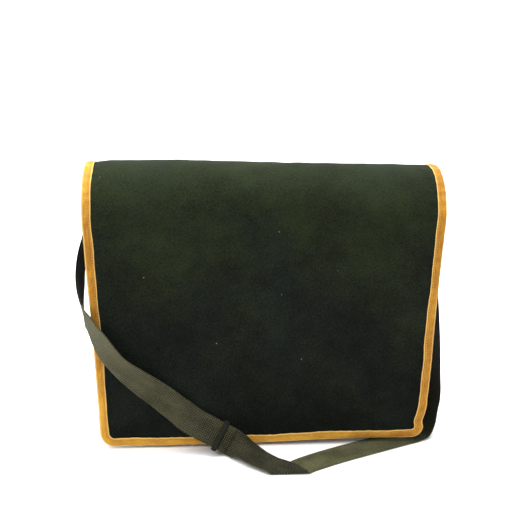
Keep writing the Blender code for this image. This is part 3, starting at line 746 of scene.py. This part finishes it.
def build_hinge_band():
    """Band of canvas sewn over the seam between the back panel and the flap."""
    lower = np.array([(rear_y(z) + 0.0006, z) for z in np.linspace(0.2570, 0.2742, 12)])
    upper = flap_at(np.linspace(END_LENGTH - 0.0008, END_LENGTH - 0.0150, 11), 0.0, 0.0006)[:, 1:]
    line = np.concatenate([lower, upper])
    run = run_of(line)
    x = np.linspace(0.168, -0.168, 121)
    fade = smoothstep(np.minimum(run, run[-1] - run) / 0.004)[:, None]
    proud = 0.00022 * (1.0 + ripple(x[None, :], run[:, None], 21, 0.012, 0.05)) * fade
    points = grid_of(x[None, :], line[:, 0, None] + proud, line[:, 1, None])
    uv = grid_of(x[None, :], run[:, None])
    band = sheet_piece("hinge_band", points, uv, BAND, [CANVAS_OUT], 1.0)
    out = np.tile([0.0, 1.0, 0.0], (len(x), 1))
    rows = []
    for k, row in enumerate((1, 9, 20)):
        path = points[row] + np.array([0.0, BAND, 0.0])
        rows.append(stitches(f"hinge_row_{k}", path, out, OLIVE_THREAD))
    sewn = join("hinge_band_stitching", rows)
    for piece in (band, sewn):
        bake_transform(piece)


# ---- body


def body_half(z):
    return BODY_HALF_BOTTOM + (BODY_HALF_TOP - BODY_HALF_BOTTOM) * z / BODY_TOP


def front_y(z):
    rise = z / BODY_TOP
    return FRONT_Y + 0.004 * rise - 0.0035 * math.sin(math.pi * min(rise, 1.0))


def rear_y(z):
    return REAR_Y + REAR_FLARE * (z / REAR_TOP) ** 2


def wall(u, z, off, end):
    """Front (end -1) or rear (end 1) wall with its half corners; u runs from left to right."""
    radius = FRONT_CORNER if end < 0 else REAR_CORNER
    face = front_y(z) if end < 0 else rear_y(z)
    half = body_half(z) - radius
    if 0.12 <= u <= 0.88:
        return Vector((half * (u - 0.5) / 0.38, face + end * off, z))
    sign = -1.0 if u < 0.5 else 1.0
    turn = (0.12 - u if u < 0.5 else u - 0.88) / 0.12 * math.pi / 4.0
    reach = radius + off
    x = sign * (half + reach * math.sin(turn))
    return Vector((x, face - end * radius + end * reach * math.cos(turn), z))


def gusset(u, z, off, sign):
    """Side wall from the front half corner (u 0) to the rear half corner (u 1)."""
    front = front_y(z) + FRONT_CORNER
    rear = rear_y(z) - REAR_CORNER
    half = body_half(z)
    if u < 0.2 or u > 0.8:
        end = -1.0 if u < 0.5 else 1.0
        radius = FRONT_CORNER if end < 0 else REAR_CORNER
        part = (0.2 - u if end < 0 else u - 0.8) / 0.2
        turn = part * math.pi / 4.0
        reach = radius + off
        y = (front if end < 0 else rear) + end * reach * math.sin(turn)
        return Vector((sign * (half - radius + reach * math.cos(turn)), y, z))
    along = (u - 0.2) / 0.6
    rise = min(max(z / 0.225, 0.0), 1.0)
    dip = GUSSET_DIP * math.sin(math.pi * along) ** 2 * math.sin(math.pi * rise) ** 2
    return Vector((sign * (half + off - dip), front + (rear - front) * along, z))


def body_swell(panel, u, z, place):
    """Sag and slack of a body panel: bellied low down, pulled in at its seams and hem."""
    held = min(1.0, u / 0.16, (1.0 - u) / 0.16)
    held = held * held * (3.0 - 2.0 * held)
    rise = z / BODY_TOP
    low = min(1.0, z / 0.03) * max(0.0, 1.0 - rise) ** 0.8
    belly = {"front": 0.0030, "rear": 0.0010, "side": 0.0035}[panel]
    return held * (belly * low * math.sin(math.pi * min(1.0, rise * 1.1 + 0.08)) + place * low)


def build_body():
    panels = [("front", 110, lambda u, z, off: wall(u, z, off, -1.0)),
              ("side", 46, lambda u, z, off: gusset(u, z, off, 1.0)),
              ("rear", 110, lambda u, z, off: wall(1.0 - u, z, off, 1.0)),
              ("side", 46, lambda u, z, off: gusset(1.0 - u, z, off, -1.0))]
    rows = 64
    columns = sum(panel[1] for panel in panels)
    points = np.zeros((rows, columns, 3))
    uv = np.zeros((rows, columns, 2))
    column = 0
    for index, (kind, count, shape) in enumerate(panels):
        for k in range(count):
            u = k / count
            rear_share = float(smoothstep(min(u, 1.0 - u) / 0.10)) if kind == "rear" else 0.0
            top = BODY_TOP + (REAR_TOP - BODY_TOP) * rear_share
            for row in range(rows):
                z = WALL_BOTTOM + (top - WALL_BOTTOM) * row / (rows - 1)
                plain = shape(u, z, 0.0)
                slack = 0.0016 * float(ripple(column * 0.003, z, 31 + index, 0.05, 0.16))
                proud = body_swell(kind, u, z, slack)
                if kind == "front":
                    proud *= 1.0 - float(pad_window(plain.x, z, 0.085))
                points[row, column] = shape(u, z, proud)
                uv[row, column] = (column * 0.0031, z)
            column += 1
    shell = sheet_piece("body_shell", points, uv, CANVAS, [CANVAS_OUT, CANVAS_IN], -1.0, True)
    place_piece(shell, "canvas", "bag", "front_panel", "back_panel", "left_gusset", "right_gusset")


def build_base():
    """Canvas base under the board, a rounded rectangle."""
    rows = []
    for turn in np.linspace(0.0, 1.0, 9) * math.pi / 2.0:
        y = FRONT_Y + FRONT_CORNER * (1.0 - math.cos(turn))
        rows.append((y, BODY_HALF_BOTTOM - FRONT_CORNER * (1.0 - math.sin(turn))))
    for y in np.linspace(FRONT_Y + FRONT_CORNER, REAR_Y - REAR_CORNER, 12)[1:-1]:
        rows.append((y, BODY_HALF_BOTTOM))
    for turn in np.linspace(0.0, 1.0, 7) * math.pi / 2.0:
        y = REAR_Y - REAR_CORNER + REAR_CORNER * math.sin(turn)
        rows.append((y, BODY_HALF_BOTTOM - REAR_CORNER * (1.0 - math.cos(turn))))
    rows = np.array(rows)
    share = np.linspace(-1.0, 1.0, 81)
    x = rows[:, 1, None] * share[None, :]
    y = np.broadcast_to(rows[:, 0, None], x.shape)
    lift = 0.00025 * (1.0 + ripple(x, y, 41, 0.02, 0.06))
    edge = smoothstep((1.0 - np.abs(share)) / 0.06)[None, :]
    z = CANVAS - 0.0002 + np.clip(lift, 0.0, 0.0002) * edge
    points = np.stack([x, y, z], axis=-1)
    base = sheet_piece("base_cloth", points, grid_of(x, y), CANVAS - 0.0003, [CANVAS_OUT])
    place_piece(base, "canvas", "bag", "base_panel")


def tube_piece(name, points, radius, look):
    """A covered cord along points, with small wrinkles in its cover."""
    points = np.array([tuple(point) for point in points])
    knots = run_of(points)
    at = np.linspace(0.0, knots[-1], int(knots[-1] / 0.002))
    path = smooth(points, knots, at)
    run = unit(np.gradient(path, axis=0))
    side = unit(np.cross(run, np.tile([0.31, 0.83, 0.47], (len(path), 1))))
    other = np.cross(side, run)
    sides = 12
    turn = np.arange(sides) / sides * 2.0 * math.pi
    swollen = radius * (1.0 + 0.04 * np.sin(at / 0.0011 + 2.0 * np.sin(at / 0.013)))
    rings = path[:, None] + swollen[:, None, None] * (
        np.cos(turn)[None, :, None] * side[:, None] + np.sin(turn)[None, :, None] * other[:, None])
    rings = rings[:, ::-1]
    uv = grid_of((turn * radius)[None, :], at[:, None]).reshape(-1, 2)
    faces = tube_faces(len(path), sides)
    return new_piece(name, rings.reshape(-1, 3), faces, uv, [look], sharp=80.0)


def build_piping():
    top = BODY_TOP - 0.0105 - 0.002
    off = PIPING_RADIUS + GAP
    low = PIPING_RADIUS + 0.0006
    bend = 0.012
    for name, end in (("front_piping", -1.0), ("rear_piping", 1.0)):
        points = [wall(0.0, top + (low + bend - top) * k / 12.0, off, end) for k in range(13)]
        for k in range(1, 9):
            turn = k / 8.0 * math.pi / 2.0
            u = 0.06 * (1.0 - math.cos(turn))
            points.append(wall(u, low + bend * (1.0 - math.sin(turn)), off, end))
        points += [wall(0.06 + 0.06 * k / 3.0, low, off, end) for k in (1, 2, 3)]
        points += [wall(0.12 + 0.38 * k / 6.0, low, off, end) for k in range(1, 7)]
        mirrored = [Vector((-point.x, point.y, point.z)) for point in points[:-1]]
        piece = tube_piece(name + "_cord", points + mirrored[::-1], PIPING_RADIUS, CANVAS_OUT)
        place_piece(piece, "canvas", "bag", name)


def build_mouth():
    """Tape folded over the mouth's edge, from one rear seam round the front to the other."""
    places = []
    for shape, end, steps in ((gusset, -1.0, [1.0 - k / 40.0 for k in range(41)]),
                              (wall, -1.0, [k / 120.0 for k in range(1, 121)]),
                              (gusset, 1.0, [k / 40.0 for k in range(1, 41)])):
        places += [lambda off, inward, shape=shape, end=end, u=u:
                   shape(u, BODY_TOP - inward, off, end) for u in steps]
    back = -CANVAS - 2.0 * GAP
    section = [(0.0070, back + 0.0001), (0.0058, back - 0.0001), (0.0052, back),
               (0.0030, back - 0.0003), (0.0008, back - 0.0002), (-0.0006, back * 0.7),
               (-0.0011, back * 0.35), (-0.0006, 0.0001), (0.0008, 0.0008),
               (0.0030, 0.0009), (0.0052, 0.0005),
               (0.0058, 0.0006), (0.0070, 0.0003)]
    points = np.array([[tuple(place(off, inward)) for inward, off in section] for place in places])
    run = run_of(points[:, 3])
    around = np.linspace(0.0, 0.018, len(section))
    uv = grid_of(around[None, :], run[:, None])
    points = points.transpose(1, 0, 2)[::-1]
    uv = uv.transpose(1, 0, 2)[::-1]
    tape = sheet_piece("mouth_tape", points, uv, TAPE, [TAPE_CLOTH], 0.0)
    sewn_points = np.array([tuple(place(0.0005 + TAPE / 2.0, 0.0052)) for place in places])
    out = unit(np.array([tuple(place(0.01, 0.0052) - place(0.0, 0.0052)) for place in places]))
    sewn = stitches("mouth_stitching", sewn_points, out, GOLD_THREAD)
    place_piece(tape, "tape", "bag", "mouth_binding")
    place_piece(sewn, "tape", "bag")


def build_pocket():
    u, v = np.meshgrid(np.linspace(0.0, 1.0, 61), np.linspace(0.0, 1.0, 43))
    x = 0.075 * (2.0 * u - 1.0)
    z = 0.075 + 0.105 * v
    rise = smoothstep(np.minimum(u, 1.0 - u) / 0.2) * smoothstep(v / 0.2 + 0.02)
    slack = 0.0009 * ripple(x, z, 51, 0.02, 0.06) * rise
    y = rear_y(z) - CANVAS - GAP - 0.0085 * rise - 0.0003 - np.abs(slack)
    points = np.stack([x, y, z], axis=-1)
    pocket = sheet_piece("inner_pocket_cloth", points, np.stack([x, z], axis=-1), 0.001,
                         [CANVAS_IN], 1.0)
    top = points[-1]
    section = [(0.0080, 0.0016), (0.0040, 0.0019), (0.0008, 0.0017), (-0.0007, 0.0006),
               (-0.0007, -0.0004), (0.0008, -0.0012), (0.0040, -0.0013), (0.0080, -0.0011)]
    tape_points = np.array([[(p[0], p[1] - off, p[2] - inward) for p in top[8:-8]]
                            for inward, off in section])
    around = np.linspace(0.0, 0.018, len(section))
    uv = grid_of(around[:, None], top[None, 8:-8, 0])
    tape = sheet_piece("pocket_tape", tape_points, uv, TAPE, [TAPE_CLOTH], 0.0)
    place_piece(pocket, "lining", "bag", "inner_pocket")
    place_piece(tape, "tape", "bag", "pocket_binding")


def patch(name, node, body, look, slot, uneven, sunk=0.0):
    """A sewn patch with rounded corners in the place of a flat CAD block."""
    corners = np.array([v.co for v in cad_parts[node].data.vertices], float)
    centre = (corners.min(0) + corners.max(0)) / 2.0
    centred = corners - corners.mean(0)
    _, _, axes = np.linalg.svd(centred, full_matrices=False)
    long, wide, thin = axes
    if np.dot(np.cross(long, wide), thin) < 0.0:
        thin = -thin
    half_long = np.abs(centred @ long).max()
    half_wide = np.abs(centred @ wide).max()
    half_thin = np.abs(centred @ thin).max()
    s, t = np.meshgrid(np.linspace(-1.0, 1.0, 61), np.linspace(-1.0, 1.0, 41))
    corner = 0.004
    rise = np.clip(corner - half_wide * (1.0 - np.abs(t)), 0.0, corner)
    cut = corner - np.sqrt(np.maximum(corner**2 - rise**2, 0.0))
    along = s * (half_long - cut)
    across = t * half_wide
    edge = np.minimum(half_long - np.abs(along), half_wide - np.abs(across))
    puff = half_thin * (0.35 + 0.65 * smoothstep(edge / 0.003))
    puff = puff + uneven * ripple(along, across, 61, 0.0022, 0.006) * smoothstep(edge / 0.002)
    halves = []
    for side in (1.0, -1.0):
        halves.append(centre + along[..., None] * long + across[..., None] * wide
                      + (side * np.minimum(puff, half_thin + uneven))[..., None] * thin)
    top, under = halves
    rows, columns = top.shape[:2]
    count = rows * columns
    verts = np.concatenate([top.reshape(-1, 3), under.reshape(-1, 3)])
    quad = grid_quads(rows, columns, columns - 1)
    faces = quad.tolist() + (quad[:, ::-1] + count).tolist()
    ring = list(range(columns))
    ring += [row * columns + columns - 1 for row in range(1, rows)]
    ring += [(rows - 1) * columns + k for k in range(columns - 2, -1, -1)]
    ring += [row * columns for row in range(rows - 2, 0, -1)]
    for k, a in enumerate(ring):
        b = ring[(k + 1) % len(ring)]
        faces.append([b, a, a + count, b + count])
    uv = np.stack([across, along], axis=-1).reshape(-1, 2)
    piece = new_piece(name, verts, faces, np.concatenate([uv, uv]), [look])
    place_piece(piece, slot, body, node)
    inner = 0.0022
    box = [(-1, -1), (1, -1), (1, 1), (-1, 1), (-1, -1), (1, 1), (1, -1), (-1, 1)]
    outward = thin if np.dot(thin, centre * [1.0, 0.0, 0.0]) > 0.0 else -thin
    if abs(thin[1]) > 0.5:
        outward = thin * (-1.0 if thin[1] > 0.0 else 1.0)
        box = box[:5]
    path = [centre + a * (half_long - inner) * long + b * (half_wide - inner) * wide
            + outward * (half_thin - sunk) for a, b in box]
    rows = [stitches(f"{name}_row_{k}", np.array(path[k:k + 2]), np.array([outward, outward]),
                     OLIVE_THREAD, 0.0028) for k in range(len(path) - 1)]
    place_piece(join(name + "_stitching", rows), slot, body)


def build_small_parts():
    for side in ("left", "right"):
        patch(f"tab_{side}", f"strap_tab_{side}", "bag", WEB_OUT, "webbing", 0.00004, 0.00058)
        patch(f"loop_patch_{side}", f"loop_pad_{side}", "bag", LOOPS, "fastener", 0.00012)
        patch(f"hook_patch_{side}", f"hook_pad_{side}", "flap_front", HOOKS, "fastener", 0.00006)
    for node, look in (("anchor_rivet_left", RIVET_METAL), ("anchor_rivet_right", RIVET_METAL),
                       ("strap_keeper", KEEPER_PLASTIC), ("base_board", BOARD)):
        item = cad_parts[node]
        item.data.materials.clear()
        item.data.materials.append(look)


# ---- strap


def strap_stations():
    rows = [np.array(row) for row in ROUTE_TO_FOLD]
    run = unit(np.array(KEEPER_RUN))
    across = np.array(KEEPER_ACROSS)
    for k in KEEPER_STEPS:
        rows.append(np.concatenate([np.array(KEEPER_POINT) + k * KEEPER_STEP * run, across]))
    rows += [np.array(row) for row in ROUTE_BEFORE_FOLD]
    bend = math.pi * FOLD_RADIUS
    for x, y, z, wx, wy, wz in ROUTE_AFTER_FOLD:
        rows.append(np.array([x, 2.0 * FOLD_Y - y - bend, z + 2.0 * FOLD_RADIUS, wx, -wy, wz]))
    rows = np.array(rows)
    return rows[:, :3], np.array([unit(row) for row in rows[:, 3:]])


def smooth(values, knots, at):
    """Cubic through the stations with tangents weighted by their spacing."""
    slopes = np.diff(values, axis=0) / np.diff(knots)[:, None]
    tangents = np.empty_like(values)
    tangents[0] = slopes[0]
    tangents[-1] = slopes[-1]
    before = np.diff(knots)[:-1, None]
    after = np.diff(knots)[1:, None]
    tangents[1:-1] = (slopes[:-1] * after + slopes[1:] * before) / (before + after)
    k = np.clip(np.searchsorted(knots, at, side="right") - 1, 0, len(knots) - 2)
    span = knots[k + 1] - knots[k]
    t = ((at - knots[k]) / span)[:, None]
    span = span[:, None]
    return (
        (2 * t**3 - 3 * t**2 + 1) * values[k]
        + (t**3 - 2 * t**2 + t) * span * tangents[k]
        + (3 * t**2 - 2 * t**3) * values[k + 1]
        + (t**3 - t**2) * span * tangents[k + 1]
    )


def station_lengths():
    """Length along the webbing at each of its stations."""
    return run_of(strap_stations()[0])


def strap_frame(at):
    """Centre, across and normal of the unfolded webbing at lengths along it."""
    centres, sides = strap_stations()
    knots = run_of(centres)
    middle = smooth(centres, knots, at)
    across = smooth(sides, knots, at)
    step = 0.0005
    run = unit(smooth(centres, knots, at + step) - smooth(centres, knots, at - step))
    across = unit(across - (across * run).sum(axis=1)[:, None] * run)
    return middle, across, np.cross(across, run)


def fold_under(points):
    """The webbing's middle turns under itself where its flat run passes the fold line."""
    past = FOLD_Y - points[..., 1]
    height = points[..., 2] - (FLOOR_LAYER_Z + 2.0 * FOLD_RADIUS)
    turn = np.clip(past / FOLD_RADIUS, 0.0, math.pi)
    bent = (past > 0.0) & (past <= math.pi * FOLD_RADIUS)
    under = past > math.pi * FOLD_RADIUS
    y = np.where(bent, FOLD_Y - FOLD_RADIUS * np.sin(turn), points[..., 1])
    z = np.where(bent, FLOOR_LAYER_Z + FOLD_RADIUS * (1.0 + np.cos(turn)), points[..., 2])
    y = np.where(under, FOLD_Y + past - math.pi * FOLD_RADIUS, y)
    z = np.where(under, FLOOR_LAYER_Z + height, z)
    return np.stack([points[..., 0], y, z], axis=-1)


def webbing_middle(lengths, offset, lift):
    """Folded middle of the webbing at lengths along it and offsets across it."""
    middle, across, normal = strap_frame(lengths)
    knots = station_lengths()
    for station, reach, shift in EASED:
        near = np.exp(-(((lengths - knots[station]) / reach) ** 2))
        middle = middle + near[:, None] * np.array(shift)
    flat = middle[:, None] + offset[..., None] * across[:, None] + (lift[:, None] * normal)[:, None]
    return fold_under(flat)


def strap_cloth(name, first, last, lift_of, node):
    """Webbing between two lengths, with rounded selvedges, closed at its ends."""
    fold_at = station_lengths()[FOLD_STATION]
    lengths = [first]
    while lengths[-1] < last:
        lengths.append(lengths[-1] + (0.0006 if abs(lengths[-1] - fold_at) < 0.040 else 0.0016))
    lengths = np.array(lengths) * (last - first) / (lengths[-1] - first)
    lengths += last - lengths[-1]
    lift = np.array([lift_of(length) for length in lengths])
    flat = 34
    half = STRAP_THICK / 2.0
    share = np.linspace(-1.0, 1.0, flat + 1)
    width = STRAP_HALF - half
    rib = 0.00005 * np.cos(share * width * 2.0 * math.pi / 0.0021)
    top = [(s * width, half + r) for s, r in zip(share, rib)]
    nose = [(width + half * math.cos(a), half * math.sin(a))
            for a in np.linspace(math.pi / 2.0, -math.pi / 2.0, 7)[1:-1]]
    section = top + nose + [(-w, -h) for w, h in top] + [(-w, -h) for w, h in nose]
    section = np.array(section)
    around = run_of(section)
    wobble = 0.00028 * ripple(lengths, 0.0 * lengths, 71, 0.02, 0.07)
    edge = 0.00018 * ripple(lengths, 0.0 * lengths + 1.0, 72, 0.005, 0.02)
    offset = section[None, :, 0] * (1.0 + wobble[:, None] / STRAP_HALF) + edge[:, None] * 0.5
    step = 0.0001
    points = webbing_middle(lengths, offset, lift)
    run = webbing_middle(lengths + step, offset, lift) - webbing_middle(lengths - step, offset, lift)
    side = webbing_middle(lengths, offset + step, lift) - webbing_middle(lengths, offset - step, lift)
    points += section[None, :, 1, None] * unit(np.cross(side, run))
    count = len(section)
    outer = [0 if flat + 4 <= k < 2 * flat + 7 else 1 for k in range(count)]
    kinds = outer * (len(lengths) - 1) + [0, 0]
    uv = grid_of(around[None, :], lengths[:, None]).reshape(-1, 2)
    faces = tube_faces(len(lengths), count)
    piece = new_piece(name, points.reshape(-1, 3), faces, uv, [WEB_OUT, WEB_IN], kinds, 60.0)
    place_piece(piece, "webbing", "strap", node)


def build_strap():
    knots = station_lengths()
    lap = knots[KEEPER_STATION]
    keeper_at = lap - 0.004
    lap_end = lap + 0.009

    def lift_left(length):
        return -LAYER_SHIFT * float(smoothstep((length - (lap - 0.060)) / 0.030))

    def lift_right(length):
        return LAYER_SHIFT * float(1.0 - smoothstep((length - lap_end - 0.002) / 0.025))

    strap_cloth("strap_left_webbing", 0.0, lap_end, lift_left, "strap_left")
    strap_cloth("strap_right_webbing", keeper_at - 0.002, knots[-1], lift_right, "strap_right")


# ---- stage, light, camera


def build_stage():
    rise = [(-8.0 + 1.15 * k, 0.0) for k in range(9)]
    rise += [(1.2 + math.sin(a), 1.0 - math.cos(a)) for a in np.linspace(0.0, math.pi / 2.0, 17)]
    rise += [(2.2, 1.0 + k) for k in range(1, 5)]
    verts = [(x, y, z) for y, z in rise for x in (-9.0, 9.0)]
    faces = [[2 * k, 2 * k + 1, 2 * k + 3, 2 * k + 2] for k in range(len(rise) - 1)]
    floor = new_piece("studio_floor", verts, faces, None, [])
    look = Look("studio_floor", specular=0.1)
    grain = look.noise(look.object_place(), 3.0, 2.0)
    color = look.mix(look.spread(grain, 0.3, 0.7), (0.93, 0.93, 0.93), (0.95, 0.95, 0.95))
    floor.data.materials.append(look.finish(color, look.spread(grain, 0.3, 0.7, 0.9, 0.95)))


def area_light(name, place, target, size, power):
    data = bpy.data.lights.new(name, "AREA")
    data.shape = "DISK"
    data.size = size
    data.energy = power
    item = bpy.data.objects.new(name, data)
    bpy.context.scene.collection.objects.link(item)
    item.location = place
    item.rotation_euler = (Vector(target) - Vector(place)).to_track_quat("-Z", "Y").to_euler()


def build_light():
    world = bpy.context.scene.world or bpy.data.worlds.new("studio")
    bpy.context.scene.world = world
    world.use_nodes = True
    sky = world.node_tree.nodes["Background"]
    sky.inputs["Color"].default_value = (1.0, 1.0, 1.0, 1.0)
    sky.inputs["Strength"].default_value = 0.55
    bpy.context.scene.view_settings.view_transform = "Standard"
    middle = (0.0, 0.0, 0.15)
    area_light("key", (-0.75, -0.60, 0.95), middle, 0.5, 6.0)
    area_light("fill", (1.5, -1.6, 0.9), middle, 1.4, 2.0)
    area_light("top", (0.0, 0.0, 1.5), middle, 1.8, 26.0)
    area_light("backdrop", (0.0, 0.7, 2.4), (0.0, 2.2, 0.5), 2.0, 90.0)


def build_camera():
    turn = math.radians(-4.9)
    rise = math.radians(18.0)
    roll = math.radians(1.29)
    back = Vector((math.sin(turn) * math.cos(rise), -math.cos(turn) * math.cos(rise),
                   math.sin(rise)))
    right = Vector((math.cos(turn), math.sin(turn), 0.0))
    up = back.cross(right)
    level_right = right * math.cos(roll) + up * math.sin(roll)
    level_up = up * math.cos(roll) - right * math.sin(roll)
    data = bpy.data.cameras.new("camera")
    data.sensor_width = 36.0
    data.lens = 58.5
    data.clip_start = 0.01
    item = bpy.data.objects.new("camera", data)
    bpy.context.scene.collection.objects.link(item)
    place = Vector((-0.002, 0.008, 0.207)) + back
    axes = Matrix((level_right, level_up, back)).transposed().to_4x4()
    item.matrix_world = Matrix.Translation(place) @ axes
    bpy.context.scene.camera = item


CANVAS_OUT = canvas_look("olive_canvas", (0.0030, 0.0036, 0.0028), (0.0200, 0.0280, 0.0115),
                         (0.0160, 0.0225, 0.0160), (0.36, 0.37, 0.30))
CANVAS_IN = canvas_look("lining_twill", (0.009, 0.011, 0.007), (0.032, 0.036, 0.025),
                        (0.028, 0.033, 0.026), (0.20, 0.20, 0.17), 0.3)
TAPE_CLOTH = tape_look()
CORNER_AT = station_lengths()[CORNER_STATION]
# Painted light and shade on the strap's outer face: lighter along its upper left run where light from
# the left falls, darker along its lower run across the flap, and darkest from the floor corner up the
# bag's right side, in its shadow.
WEB_OUT = webbing_look("strap_webbing", (0.005, 0.005, 0.0030), (0.090, 0.086, 0.046),
                       [(0.17, 0.30, 0.34, 0.0), (0.32, 0.42, 0.03, -0.10),
                        (CORNER_AT, CORNER_AT + 0.04, 0.0, -0.45)])
# Painted shade on the strap's reverse face: dark where it curls beside the flap's left edge in shade,
# and from the floor corner up the bag's right side, in its shadow.
WEB_IN = webbing_look("strap_webbing_reverse", (0.012, 0.012, 0.006), (0.165, 0.160, 0.074),
                      [(0.16, 0.30, -0.45, 0.0), (CORNER_AT - 0.02, CORNER_AT + 0.03, 0.0, -0.45)])
OLIVE_THREAD = thread_look("olive_thread", (0.030, 0.034, 0.022), (0.085, 0.090, 0.060))
GOLD_THREAD = thread_look("gold_thread", (0.36, 0.15, 0.020), (0.66, 0.34, 0.07))
KEEPER_PLASTIC = plastic_look()
RIVET_METAL = metal_look()
BOARD = board_look()
HOOKS = pile_look("hook_tape", (0.006, 0.007, 0.005), (0.030, 0.033, 0.025), 0.0011)
LOOPS = pile_look("loop_tape", (0.008, 0.010, 0.007), (0.045, 0.050, 0.038), 0.0016)

build_camera()
build_stage()
build_light()
build_strap()
build_flap()
build_hinge_band()
build_body()
build_base()
build_piping()
build_mouth()
build_pocket()
build_small_parts()
